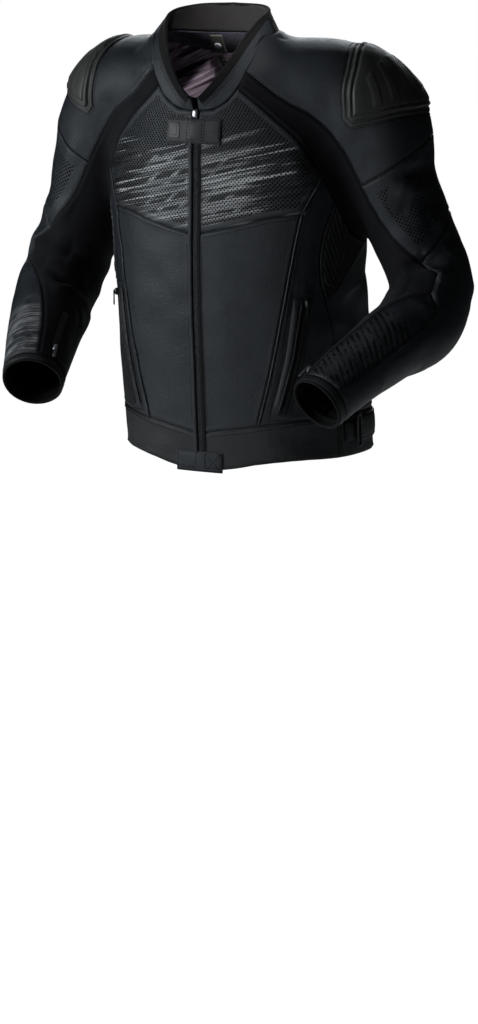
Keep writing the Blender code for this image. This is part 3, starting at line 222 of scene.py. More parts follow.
def slope(p, field=form, h=0.0006):
    grad = np.stack([field(p + h * e) - field(p - h * e) for e in np.eye(3)], axis=1)
    return grad / (2 * h)


def settle(p, field=form, steps=4):
    """Moves points straight onto the form."""
    for _ in range(steps):
        g = slope(p, field)
        move = field(p)[:, None] * g / np.maximum((g**2).sum(1, keepdims=True), 0.05)
        size = np.linalg.norm(move, axis=1, keepdims=True)
        p = p - move * np.minimum(1, 0.03 / np.maximum(size, 1e-9))
    return p


def cast(start, way, far=0.32, field=form):
    """First place along each ray, seen from inside, where the form is left."""
    reach = np.linspace(0.01, far, 60)
    values = np.stack([field(start + way * t) for t in reach], axis=1)
    out = (values > 0).argmax(1)
    out = np.where(values.max(1) <= 0, len(reach) - 1, np.maximum(out, 1))
    lo, hi = reach[out - 1], reach[out]
    for _ in range(22):
        mid = (lo + hi) / 2
        inside = field(start + way * mid[:, None]) < 0
        lo, hi = np.where(inside, mid, lo), np.where(inside, hi, mid)
    return start + way * ((lo + hi) / 2)[:, None]


# Largest folds: where each starts and ends on the body or an arm, half its width, height (minus is a hollow)
FOLDS = (
    # on    from           to             width  height
    ("arm", 0.425, 105, 0.405, 45, 0.017, -0.005),
    ("arm", 0.452, 125, 0.446, 40, 0.017, 0.005),
    ("arm", 0.482, 130, 0.480, 60, 0.017, -0.005),
    ("arm", 0.372, 112, 0.360, 55, 0.018, 0.003),
    ("arm", 0.515, 170, 0.512, 100, 0.018, 0.005),
    ("arm", 0.440, -130, 0.452, -50, 0.020, 0.004),
    ("arm", 0.478, -120, 0.480, -40, 0.018, -0.004),
    ("arm", 0.560, -50, 0.640, -20, 0.020, -0.003),
    ("body", 0.235, 88, 0.150, 96, 0.022, -0.005),
    ("body", 0.250, 104, 0.120, 110, 0.024, 0.005),
    ("body", 0.200, 150, 0.170, 172, 0.026, -0.005),
    ("body", 0.280, 135, 0.330, 150, 0.024, -0.004),
)


def torso_ray(side, z, angle):
    z = np.asarray(z, float).reshape(-1)
    a = np.radians(np.asarray(angle, float)).reshape(-1)
    _, _, _, middle, lean, _ = torso_row(z)
    start = np.stack([lean, middle, z], axis=1)
    return start, np.stack([side * np.sin(a), -np.cos(a), 0 * a], axis=1)


# Creases of each side: where, half width, height (minus is a trough), then the places they run through,
# each by its distance down the arm or its height on the body, and its angle
CREASES = {
    -1: (
        ("arm", 0.008, -0.0045, (0.491, 80), (0.537, 126), (0.527, 176)),
        ("arm", 0.011, 0.0040, (0.505, 62), (0.551, 129), (0.527, 196)),
        ("arm", 0.009, 0.0030, (0.542, 176), (0.533, 213), (0.591, 208)),
        ("arm", 0.006, -0.0026, (0.560, 166), (0.581, 186), (0.629, 178)),
        ("arm", 0.005, -0.0018, (0.600, 174), (0.629, 164), (0.664, 158)),
        ("arm", 0.012, -0.0022, (0.476, 112), (0.440, 130), (0.400, 148)),
        ("arm", 0.009, 0.0020, (0.403, 133), (0.444, 168)),
        ("arm", 0.012, 0.0016, (0.556, 81), (0.638, 99)),
        ("arm", 0.016, -0.0022, (0.235, 70), (0.285, 78)),
        ("arm", 0.015, 0.0015, (0.247, 88), (0.310, 84)),
        ("arm", 0.012, -0.0020, (0.330, 30), (0.350, 80)),
        ("arm", 0.012, 0.0018, (0.372, 20), (0.385, 70)),
        ("arm", 0.010, -0.0030, (0.452, 0), (0.470, 60)),
        ("arm", 0.012, 0.0026, (0.480, -20), (0.500, 30)),
        ("arm", 0.011, -0.0022, (0.515, -40), (0.540, 20)),
        ("arm", 0.013, -0.0026, (0.430, -70), (0.410, -130), (0.415, -170)),
        ("arm", 0.011, 0.0024, (0.470, -60), (0.462, -120), (0.480, -160)),
        ("arm", 0.009, -0.0024, (0.505, -90), (0.500, -150)),
        ("arm", 0.010, 0.0018, (0.560, -70), (0.600, -130)),
        ("arm", 0.009, -0.0018, (0.600, -50), (0.640, -100)),
        ("arm", 0.014, -0.0024, (0.300, -60), (0.335, -110)),
        ("arm", 0.012, 0.0018, (0.345, -50), (0.370, -100)),
        ("body", 0.014, -0.0040, (0.430, 71), (0.395, 75), (0.361, 79)),
        ("body", 0.024, -0.0014, (0.290, 29), (0.151, 24)),
        ("body", 0.028, 0.0012, (0.270, 43), (0.110, 36)),
        ("body", 0.013, 0.0012, (0.019, 33), (0.008, 13)),
        ("body", 0.016, 0.0014, (0.550, 70), (0.512, 34)),
        ("body", 0.010, -0.0016, (0.561, 88), (0.549, 74)),
        ("body", 0.018, -0.0024, (0.215, 92), (0.140, 86)),
        ("body", 0.016, 0.0022, (0.180, 112), (0.105, 104)),
        ("body", 0.020, -0.0024, (0.160, 140), (0.125, 172)),
        ("body", 0.022, 0.0022, (0.205, 132), (0.175, 168)),
        ("body", 0.024, -0.0020, (0.360, 128), (0.300, 158)),
        ("body", 0.026, 0.0020, (0.440, 150), (0.330, 176)),
        ("body", 0.012, -0.0018, (0.040, 110), (0.034, 150)),
    ),
    +1: (
        ("arm", 0.010, 0.0036, (0.395, 76), (0.406, 50), (0.427, 18)),
        ("arm", 0.008, -0.0048, (0.408, 124), (0.406, 85), (0.428, 52)),
        ("arm", 0.008, 0.0030, (0.465, 118), (0.452, 80), (0.461, 48)),
        ("arm", 0.008, -0.0030, (0.438, 118), (0.432, 84), (0.444, 60)),
        ("arm", 0.009, 0.0024, (0.492, 112), (0.482, 78)),
        ("arm", 0.010, 0.0020, (0.540, 79), (0.536, 56), (0.518, 39)),
        ("arm", 0.009, -0.0020, (0.524, 86), (0.503, 45)),
        ("arm", 0.011, -0.0030, (0.284, 76), (0.296, 22)),
        ("arm", 0.017, -0.0045, (0.318, 96), (0.330, 68), (0.333, 36)),
        ("arm", 0.010, 0.0024, (0.305, 78), (0.311, 42)),
        ("arm", 0.007, -0.0020, (0.279, 24), (0.284, 61)),
        ("arm", 0.012, 0.0026, (0.351, 56), (0.372, 30)),
        ("arm", 0.015, -0.0018, (0.247, 109), (0.273, 90)),
        ("arm", 0.016, -0.0024, (0.133, 80), (0.160, 104), (0.188, 124)),
        ("arm", 0.013, 0.0014, (0.155, 78), (0.206, 114), (0.250, 118)),
        ("arm", 0.012, 0.0018, (0.538, 20), (0.606, 8)),
        ("arm", 0.011, -0.0020, (0.570, 40), (0.640, 34)),
        ("arm", 0.012, -0.0030, (0.395, -10), (0.418, -70)),
        ("arm", 0.013, 0.0030, (0.440, 0), (0.452, -60)),
        ("arm", 0.010, -0.0026, (0.470, -30), (0.490, -100)),
        ("arm", 0.012, -0.0026, (0.420, -120), (0.400, -165)),
        ("arm", 0.011, 0.0026, (0.450, -115), (0.440, -175)),
        ("arm", 0.009, -0.0026, (0.480, -130), (0.470, -190)),
        ("arm", 0.012, 0.0020, (0.540, -60), (0.590, -120)),
        ("arm", 0.010, -0.0020, (0.590, -80), (0.650, -120)),
        ("arm", 0.015, -0.0026, (0.300, -30), (0.330, -90)),
        ("arm", 0.013, 0.0020, (0.350, -40), (0.372, -95)),
        ("body", 0.017, -0.0050, (0.448, 61), (0.418, 66), (0.387, 71)),
        ("body", 0.009, 0.0013, (0.244, 53), (0.239, 61)),
        ("body", 0.026, -0.0014, (0.229, 33), (0.118, 31)),
        ("body", 0.030, 0.0014, (0.283, 19), (0.088, 18)),
        ("body", 0.008, -0.0015, (0.579, 92), (0.571, 85)),
        ("body", 0.013, -0.0016, (0.034, 37), (0.037, 61)),
        ("body", 0.020, -0.0030, (0.190, 76), (0.120, 68)),
        ("body", 0.016, 0.0022, (0.255, 98), (0.160, 90)),
        ("body", 0.018, -0.0026, (0.150, 118), (0.100, 100)),
        ("body", 0.022, -0.0024, (0.190, 128), (0.150, 166)),
        ("body", 0.020, 0.0024, (0.150, 134), (0.110, 178)),
        ("body", 0.024, -0.0020, (0.400, 132), (0.330, 164)),
        ("body", 0.024, 0.0018, (0.300, 140), (0.255, 174)),
        ("body", 0.013, 0.0016, (0.030, 100), (0.036, 140)),
    ),
}


def between(rows, count=7):
    """Places by distance and angle, read again at equal steps."""
    at = np.linspace(0, len(rows) - 1, count)
    along, angle = (np.interp(at, range(len(rows)), [row[k] for row in rows]) for k in (0, 1))
    return list(zip(along, angle))


class Side:
    """One side of the jacket: +1 is the wearer's left, -1 the right."""

    def __init__(self, sign):
        self.sign = sign
        self.sleeve = LEFT if sign > 0 else RIGHT
        self.scale = self.sleeve.run[-1] / LEFT.run[-1]
        self.folds = [(self.place(row[0], between((row[1:3], row[3:5])), True), row[5], row[6])
                      for row in FOLDS]
        self.creases = [(self.place(on, between(line)), width, height)
                        for on, width, height, *line in CREASES[sign]]

    def place(self, on, rows, scaled=False):
        """Points on the form for places on the body or an arm."""
        points = []
        for along, angle in rows:
            if on == "body":
                start, way = torso_ray(self.sign, along, angle)
                points.append(cast(start, way, field=torso_field)[0])
            else:
                start, way = self.sleeve.ray(along * (self.scale if scaled else 1), angle)
                points.append(cast(start, way, far=0.15, field=self.sleeve.field)[0])
        return settle(np.array(points))


SIDES = {+1: Side(+1), -1: Side(-1)}


def ridge(p, line, width, height, keen):
    """Height of one fold at each point; a keen trough is narrow at its foot and lifts its banks."""
    lift = np.zeros(len(p))
    near = ((p > line.min(0) - 3 * width) & (p < line.max(0) + 3 * width)).all(1)
    if not near.any():
        return lift
    q = p[near]
    seg0, seg = line[:-1], np.diff(line, axis=0)
    rel = q[:, None] - seg0[None]
    t = np.clip((rel * seg).sum(2) / (seg**2).sum(1), 0, 1)
    away = np.linalg.norm(rel - t[..., None] * seg, axis=2)
    best = away.argmin(1)
    rows = np.arange(len(q))
    along = (best + t[rows, best]) / len(seg)
    taper = np.clip(4 * along * (1 - along), 0, 1) ** 0.5
    d = away[rows, best] / width
    shape = np.exp(-d**2)
    if keen:
        shape = np.exp(-np.abs(d) ** 1.5) - 0.30 * np.exp(-((d - 1.7) ** 2) / 0.5)
        taper = taper * (0.75 + 0.25 * np.sin(9 * along + 300 * width))
    lift[near] = height * taper * shape
    return lift


WAVES = np.array([  # slow unevenness of worn leather: direction and length of each wave, height
    (60, 14, 32, 0.00016), (-38, 20, 45, 0.00018), (35, -50, 40, 0.00016), (95, 30, -40, 0.00012),
    (-70, 90, 60, 0.00010), (120, -60, 90, 0.00007),
])


def fold_height(p):
    """Folds that the walls have too."""
    return sum(ridge(p, *fold, False) for side in SIDES.values() for fold in side.folds)


def lift_of(p):
    """Everything that raises or sinks the cloth over the form, seams apart."""
    lift = fold_height(p)
    for side in SIDES.values():
        for crease in side.creases:
            lift = lift + ridge(p, *crease, True)
    for x, y, z, high in WAVES:
        lift = lift + high * np.sin(p @ np.array([x, y, z]) + 40 * high * 1e4 * p[:, 2])
    return lift


# ---------------------------------------------------------------- meshes
def mesh_arrays(mesh):
    """Points and triangles of a mesh, in the object's frame."""
    co = np.empty(len(mesh.vertices) * 3)
    mesh.vertices.foreach_get("co", co)
    mesh.calc_loop_triangles()
    tri = np.empty(len(mesh.loop_triangles) * 3, int)
    mesh.loop_triangles.foreach_get("vertices", tri)
    return co.reshape(-1, 3), tri.reshape(-1, 3)


def read(node):
    """Welded points and triangles of a CAD node, in the pattern's frame."""
    co, tri = mesh_arrays(NODES[node].data)
    points, index = np.unique(co.round(6), axis=0, return_inverse=True)
    tri = index.reshape(-1)[tri]
    keep = (tri[:, 0] != tri[:, 1]) & (tri[:, 1] != tri[:, 2]) & (tri[:, 0] != tri[:, 2])
    return points + HOLD, tri[keep]


def pick(points, tri, keep):
    """The mesh of the kept triangles alone."""
    used, tri = np.unique(tri[keep], return_inverse=True)
    return points[used], tri.reshape(-1, 3)


def subdivide(points, tri):
    count, n = len(points), len(tri)
    edges = np.sort(np.concatenate([tri[:, [0, 1]], tri[:, [1, 2]], tri[:, [2, 0]]]), axis=1)
    key, inverse = np.unique(edges[:, 0] * count + edges[:, 1], return_inverse=True)
    middle = (points[key // count] + points[key % count]) / 2
    m = inverse.reshape(3, n).T + count
    tri = np.concatenate([
        np.stack([tri[:, 0], m[:, 0], m[:, 2]], 1), np.stack([m[:, 0], tri[:, 1], m[:, 1]], 1),
        np.stack([m[:, 2], m[:, 1], tri[:, 2]], 1), m,
    ])
    return np.concatenate([points, middle]), tri


def open_edges(tri):
    """Edges with a triangle on one side only; seen from outside, the cloth is to the left of their run."""
    count = int(tri.max()) + 1
    edges = np.concatenate([tri[:, [0, 1]], tri[:, [1, 2]], tri[:, [2, 0]]])
    return edges[~np.isin(edges[:, 0] * count + edges[:, 1], edges[:, 1] * count + edges[:, 0])]


def loops_of(tri):
    """Boundary loops."""
    after = dict(open_edges(tri).tolist())
    loops = []
    while after:
        start, point = next(iter(after.items()))
        loop = [start]
        del after[start]
        while point != start and point in after:
            loop.append(point)
            point = after.pop(point)
        loops.append(np.array(loop))
    return sorted(loops, key=len, reverse=True)


def mesh_object(name, points, faces, materials, index=None, smooth=True, cloth=None, sharp=None):
    """An object from points in the pattern's frame."""
    mesh = bpy.data.meshes.new(name)
    points = np.asarray(points, float) - HOLD
    faces = np.asarray(faces)
    mesh.vertices.add(len(points))
    mesh.vertices.foreach_set("co", points.reshape(-1))
    corners = faces.shape[1]
    mesh.loops.add(faces.size)
    mesh.loops.foreach_set("vertex_index", faces.reshape(-1).astype(np.int32))
    mesh.polygons.add(len(faces))
    mesh.polygons.foreach_set("loop_start", np.arange(0, faces.size, corners, dtype=np.int32))
    mesh.polygons.foreach_set("loop_total", np.full(len(faces), corners, dtype=np.int32))
    for material in materials:
        mesh.materials.append(material)
    if index is not None:
        mesh.polygons.foreach_set("material_index", np.asarray(index, np.int32))
    mesh.update(calc_edges=True)
    mesh.validate()
    if smooth:
        mesh.shade_smooth()
        if sharp:
            mesh.set_sharp_from_angle(angle=math.radians(sharp))
    if cloth is not None:
        layer = mesh.attributes.new("cloth", "FLOAT_VECTOR", "POINT")
        layer.data.foreach_set("vector", np.asarray(cloth, float).reshape(-1))
    made = bpy.data.objects.new(name, mesh)
    bpy.context.collection.objects.link(made)
    return made


def right_way_out(piece):
    """Turns a closed piece's faces outwards."""
    work = bmesh.new()
    work.from_mesh(piece.data)
    bmesh.ops.recalc_face_normals(work, faces=work.faces)
    work.to_mesh(piece.data)
    work.free()
    return piece


def grid_quads(index):
    """Quads of an open grid of point numbers."""
    return np.stack([index[:-1, :-1], index[1:, :-1], index[1:, 1:], index[:-1, 1:]], -1).reshape(-1, 4)


def ring_quads(here, after):
    """Quads between rings of point numbers and the rings that follow them."""
    return np.stack([here, np.roll(here, -1, 1), np.roll(after, -1, 1), after], -1).reshape(-1, 4)


def finish(piece, slot, *nodes, body="jacket"):
    """Puts a piece on its body in place of its CAD nodes."""
    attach(piece, body)
    if nodes:
        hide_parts(*nodes)
    return piece


def edge_distance(p, loops, points):
    """Distance of each point to the nearest boundary."""
    ends = [(points[loop], points[np.roll(loop, -1)]) for loop in loops]
    a, b = np.concatenate([e[0] for e in ends]), np.concatenate([e[1] for e in ends])
    middle = (a + b) / 2
    out = np.empty(len(p))
    for k in range(0, len(p), 4096):
        q = p[k : k + 4096]
        d = (q**2).sum(1)[:, None] - 2 * q @ middle.T + (middle**2).sum(1)[None]
        near = np.argpartition(d, min(3, d.shape[1] - 1), axis=1)[:, :4]
        s, e = a[near], b[near] - a[near]
        rel = q[:, None] - s
        t = np.clip((rel * e).sum(2) / np.maximum((e**2).sum(2), 1e-12), 0, 1)
        out[k : k + 4096] = np.linalg.norm(rel - t[..., None] * e, axis=2).min(1)
    return out


def cloth_place(p, kind):
    """Flat place on the cloth: along an arm or up the body, in metres."""
    if kind == "body":
        _, front, _, middle, lean, _ = torso_row(p[:, 2])
        return np.arctan2(p[:, 0] - lean, -(p[:, 1] - middle)) * 0.165, p[:, 2]
    sleeve = LEFT if p[:, 0].mean() > 0 else RIGHT
    k = sleeve.locate(p)
    rel = p - sleeve.at(sleeve.mid, k)
    angle = np.arctan2((rel * sleeve.at(sleeve.front, k)).sum(1), (rel * sleeve.at(sleeve.top, k)).sum(1))
    if kind == "under":
        angle = angle % (2 * np.pi)
    return angle * 0.058, np.interp(k, np.arange(AXIS_STEPS), sleeve.run)


LEVEL = 3
PANEL_LOOPS = {}           # finished outer edges by node: points on the form and inward directions


def seam_relief(edge):
    """Where a panel is turned in at its seam: a step down, then a slight roll."""
    return -0.0011 * np.exp(-((edge / 0.0017) ** 2)) + 0.0006 * np.exp(-(((edge - 0.0048) / 0.0026) ** 2))


def ribs(p, high):
    """Accordion ribs of the wedge under the arm: pleats that run down and forward."""
    u, v = cloth_place(p, "body")
    u = np.abs(u) + 0.42 * v
    return high * np.abs(np.sin(np.pi * u / 0.0068)) ** 0.7


def crosses(points, tri):
    """Normals of triangles, twice as long as their areas."""
    return np.cross(points[tri[:, 1]] - points[tri[:, 0]], points[tri[:, 2]] - points[tri[:, 0]])


def cloth_panel(node, kind, look, slot):
    """Lays one pattern piece on the form as a thin shell and returns its object."""
    points, tri = read(node)
    facing = (unit(crosses(points, tri)) * unit(slope(points[tri].mean(1)))).sum(1)
    points, tri = pick(points, tri, facing > 0.35)
    points = settle(points)
    if (crosses(points, tri) * slope(points[tri[:, 0]])).sum() < 0:
        tri = tri[:, ::-1]
    for k in range(LEVEL):
        count = len(points)
        points, tri = subdivide(points, tri)
        points[count:] = settle(points[count:], steps=2 if k == 0 else 1)
    loops = loops_of(tri)
    normals = unit(slope(points))
    edge = edge_distance(points, loops, points)
    area = np.linalg.norm(crosses(points, tri), axis=1).sum() / 2
    PANEL_LOOPS[node] = [(points[loop], normals[loop]) for loop in loops]
    lift = lift_of(points) + seam_relief(edge)
    if node.startswith("rib"):
        lift = lift + ribs(points, 0.0026) * np.clip((edge - 0.001) / 0.004, 0, 1)
    u, v = cloth_place(points, kind)
    out = points + normals * lift[:, None]
    n = len(out)
    back = out - normals * BACKING
    around = open_edges(tri)
    strip = np.concatenate([
        np.stack([around[:, 1], around[:, 0], n + around[:, 0]], 1),
        np.stack([around[:, 1], n + around[:, 0], n + around[:, 1]], 1),
    ])
    everything = np.concatenate([out, back])
    faces = np.concatenate([tri, tri[:, ::-1] + n, strip])
    index = np.concatenate([np.zeros(len(tri)), np.ones(len(tri)), np.zeros(len(strip))])
    flat = np.tile(np.stack([u, v, edge], 1), (2, 1))
    piece = mesh_object(f"{node}_cloth", everything, faces, [MATERIAL[look], MATERIAL["backing"]], index,
                        cloth=flat, sharp=50)
    finish(piece, slot, node)
    tall = max(float(np.ptp(v)), 0.03)
    return piece


# ---------------------------------------------------------------- materials
class Shader:
    """A material and short ways to add nodes to it."""

    def __init__(self, name, colour, rough, metallic=0.0, **sockets):
        self.material = bpy.data.materials.new(name)
        self.material.use_nodes = True
        self.tree = self.material.node_tree
        self.out = self.tree.nodes["Principled BSDF"]
        self.out.inputs["Base Color"].default_value = (*colour, 1)
        self.out.inputs["Roughness"].default_value = rough
        self.out.inputs["Metallic"].default_value = metallic
        for socket, value in sockets.items():
            self.out.inputs[socket.replace("_", " ")].default_value = value
        self.place = self.node("ShaderNodeTexCoord").outputs["Object"]
        self.height = None

    def node(self, kind, **inputs):
        made = self.tree.nodes.new(kind)
        for name, value in inputs.items():
            self.plug(made.inputs[name.replace("_", " ")], value)
        return made

    def plug(self, socket, value):
        if isinstance(value, bpy.types.NodeSocket):
            self.tree.links.new(value, socket)
        else:
            socket.default_value = value

    def cloth(self):
        made = self.node("ShaderNodeAttribute")
        made.attribute_name = "cloth"
        split = self.node("ShaderNodeSeparateXYZ", Vector=made.outputs["Vector"])
        return made.outputs["Vector"], split.outputs["X"], split.outputs["Y"], split.outputs["Z"]

    def math(self, how, a, b=0.0, c=0.0):
        made = self.tree.nodes.new("ShaderNodeMath")
        made.operation = how
        for socket, value in zip(made.inputs, (a, b, c)):
            self.plug(socket, value)
        return made.outputs[0]

    def times(self, a, b):
        return self.math("MULTIPLY", a, b)

    def plus(self, a, b):
        return self.math("ADD", a, b)

    def minus(self, a, b):
        return self.math("SUBTRACT", a, b)

    def wave(self, value, pitch):
        return self.math("SINE", self.times(value, 2 * math.pi / pitch))

    def vector(self, how, a, b=(0.0, 0.0, 0.0)):
        made = self.tree.nodes.new("ShaderNodeVectorMath")
        made.operation = how
        self.plug(made.inputs[0], a)
        self.plug(made.inputs[1], b)
        return made.outputs["Value" if how == "LENGTH" else "Vector"]

    def step(self, value, low, high, a=0.0, b=1.0):
        made = self.node("ShaderNodeMapRange", Value=value, From_Min=low, From_Max=high, To_Min=a, To_Max=b)
        made.interpolation_type = "SMOOTHSTEP"
        return made.outputs["Result"]

    def noise(self, scale, detail=2.0, rough=0.5, at=None, twist=0.0, stretch=None):
        at = self.place if at is None else at
        if stretch:
            at = self.vector("MULTIPLY", at, stretch)
        made = self.node("ShaderNodeTexNoise", Vector=at, Scale=scale, Detail=detail, Roughness=rough,
                         Distortion=twist)
        return made.outputs["Fac"]

    def cells(self, scale, feature="F1", at=None, random=1.0):
        made = self.tree.nodes.new("ShaderNodeTexVoronoi")
        made.feature = feature
        self.plug(made.inputs["Vector"], self.place if at is None else at)
        self.plug(made.inputs["Scale"], scale)
        self.plug(made.inputs["Randomness"], random)
        return made.outputs["Distance"]

    def blend(self, share, a, b):
        made = self.tree.nodes.new("ShaderNodeMix")
        made.data_type = "RGBA"
        self.plug(made.inputs[0], share)
        for socket, value in ((made.inputs[6], a), (made.inputs[7], b)):
            self.plug(socket, value if isinstance(value, bpy.types.NodeSocket) else (*value, 1))
        return made.outputs[2]

    def colour(self, value):
        self.plug(self.out.inputs["Base Color"], value)

    def rough(self, value):
        self.plug(self.out.inputs["Roughness"], value)

    def relief(self, value, distance):
        """Adds a height, in metres at value 1, to the bump."""
        value = self.math("MULTIPLY", value, distance)
        self.height = value if self.height is None else self.math("ADD", self.height, value)

    def done(self, strength=1.0):
        if self.height is not None:
            bump = self.node("ShaderNodeBump", Height=self.height, Strength=strength, Distance=1.0)
            self.plug(self.out.inputs["Normal"], bump.outputs["Normal"])
        return self.material


LEATHER = (0.0116, 0.0148, 0.0200)


def shade(tone, share):
    return [share * c for c in tone]


def holes(s, uv, wide, tall, radius):
    """Round holes in a staggered grid: 1 in a hole."""
    cell = s.vector("MULTIPLY", uv, (1 / wide, 1 / tall, 0.0))
    spots = []
    for shift in (0.0, 0.5):
        at = s.vector("FRACTION", s.vector("ADD", cell, (shift + 10, shift + 10, 0.0)))
        at = s.vector("MULTIPLY", s.vector("SUBTRACT", at, (0.5, 0.5, 0.0)), (wide, tall, 0.0))
        spots.append(s.vector("LENGTH", at))
    return s.step(s.math("MINIMUM", *spots), radius * 1.25, radius * 0.75)


def chest_print(s, cloth, u, v, edge, colour, gloss):
    """Worn silver streaks with slanted posts, dark strokes and a dull ground."""
    x = s.math("ABSOLUTE", u)
    place = s.node("ShaderNodeCombineXYZ", X=u, Y=s.plus(v, s.times(u, -0.20))).outputs[0]
    ragged = s.noise(1.0, 3, 0.6, at=place, stretch=(26, 60, 0))
    strokes = s.noise(1.0, 4, 0.65, at=place, stretch=(4.5, 620, 0))
    dashes = s.noise(1.0, 3, 0.6, at=place, stretch=(8, 330, 0))
    slant = s.plus(s.times(s.plus(u, s.times(v, -1.25)), 1 / 0.034), 20.0)
    slant = s.math("FRACT", slant)
    posts = s.times(s.step(slant, 0.08, 0.13), s.step(slant, 0.40, 0.35))
    posts = s.times(posts, s.times(s.step(v, 0.344, 0.348), s.step(v, 0.424, 0.420)))
    posts = s.times(posts, 0.80)
    bands = posts
    for centre, half, shift in ((0.4330, 0.0030, 0.9), (0.4170, 0.0060, 0.2), (0.3990, 0.0035, 0.5),
                                (0.3840, 0.0065, 0.1), (0.3660, 0.0040, 0.4), (0.3490, 0.0070, 0.2),
                                (0.3320, 0.0030, 0.6)):
        line = s.plus(centre, s.times(u, 0.16 + 0.08 * shift))
        off = s.math("ABSOLUTE", s.minus(v, line))
        off = s.plus(off, s.times(s.minus(dashes, 0.5), 0.010))
        bands = s.math("MAXIMUM", bands, s.step(off, half * 1.2, half * 0.85, 0.0, 0.8))
    frayed = s.plus(x, s.times(s.minus(dashes, 0.5), 0.16))
    bands = s.times(bands, s.step(frayed, 0.122, 0.096))
    silver = s.times(bands, s.step(strokes, 0.43, 0.60, 0.10, 1.0))
    silver = s.times(silver, s.step(dashes, 0.40, 0.50, 0.45, 1.0))
    thin = s.times(s.step(s.noise(1.0, 2, 0.5, at=place, stretch=(4.5, 260, 0)), 0.60, 0.63),
                  s.step(v, 0.447, 0.437))
    thin = s.times(thin, s.step(v, 0.325, 0.335))
    silver = s.math("MAXIMUM", silver, s.times(thin, 0.9))
    silver = s.times(silver, s.step(x, 0.172, 0.140))
    silver = s.times(silver, s.step(edge, 0.004, 0.012, 0.25, 1.0))
    ground = s.times(s.step(x, 0.185, 0.145), s.step(ragged, 0.30, 0.52))
    ground = s.times(ground, s.times(s.step(v, 0.440, 0.420), s.step(v, 0.318, 0.335)))
    colour = s.blend(s.times(ground, 0.75), colour, (0.036, 0.038, 0.040))
    colour = s.blend(s.times(silver, 0.95), colour, (0.80, 0.80, 0.81))
    ink = s.times(s.step(s.noise(1.0, 3, 0.55, at=place, stretch=(7, 165, 0)), 0.49, 0.53),
                 s.times(s.step(x, 0.080, 0.105, 0.15, 1.0), s.step(v, 0.440, 0.425)))
    ink = s.times(ink, s.step(v, 0.315, 0.330))
    colour = s.blend(s.times(ink, 0.95), colour, (0.0020, 0.0020, 0.0024))
    gloss = s.minus(gloss, s.times(s.math("MAXIMUM", ink, silver), 0.12))
    return colour, gloss


def streak_print(s, cloth, u, v, edge, colour, gloss):
    """Pale streaks round the lower forearm."""
    place = s.node("ShaderNodeCombineXYZ", X=s.plus(u, s.times(v, 0.5)), Y=v).outputs[0]
    strokes = s.step(s.noise(1.0, 3, 0.6, at=place, stretch=(14, 520, 0)), 0.46, 0.58)
    zone = s.times(s.step(v, 0.555, 0.610), s.step(s.noise(1.0, 2, at=place, stretch=(30, 60, 0)), 0.3, 0.6))
    silver = s.times(s.times(strokes, zone), s.step(edge, 0.002, 0.008))
    colour = s.blend(s.times(zone, 0.35), colour, (0.075, 0.077, 0.080))
    colour = s.blend(s.times(silver, 0.85), colour, (0.36, 0.36, 0.365))
    return colour, gloss


def bar_print(s, cloth, u, v, edge, colour, gloss):
    """Dark slanting bars, torn, on a dull ground."""
    slant = s.plus(s.times(v, 0.97), s.times(u, 0.42))
    stripe = s.math("FRACT", s.times(s.plus(slant, 3.0), 1 / 0.0088))
    stripe = s.times(s.step(stripe, 0.10, 0.18), s.step(stripe, 0.62, 0.54))
    torn = s.step(s.noise(1.0, 3, 0.6, at=cloth, stretch=(60, 90, 0)), 0.38, 0.50)
    zone = s.times(s.step(v, 0.555, 0.580), s.step(edge, 0.0, 0.004))
    ink = s.times(s.times(stripe, torn), zone)
    ground = s.times(zone, s.step(s.noise(40, 3), 0.35, 0.65))
    colour = s.blend(s.times(ground, 0.55), colour, (0.045, 0.046, 0.048))
    colour = s.blend(ink, colour, (0.003, 0.003, 0.0035))
    gloss = s.minus(gloss, s.times(ink, 0.20))
    return colour, gloss


PRINTS = {"chest": chest_print, "streaks": streak_print, "bars": bar_print}


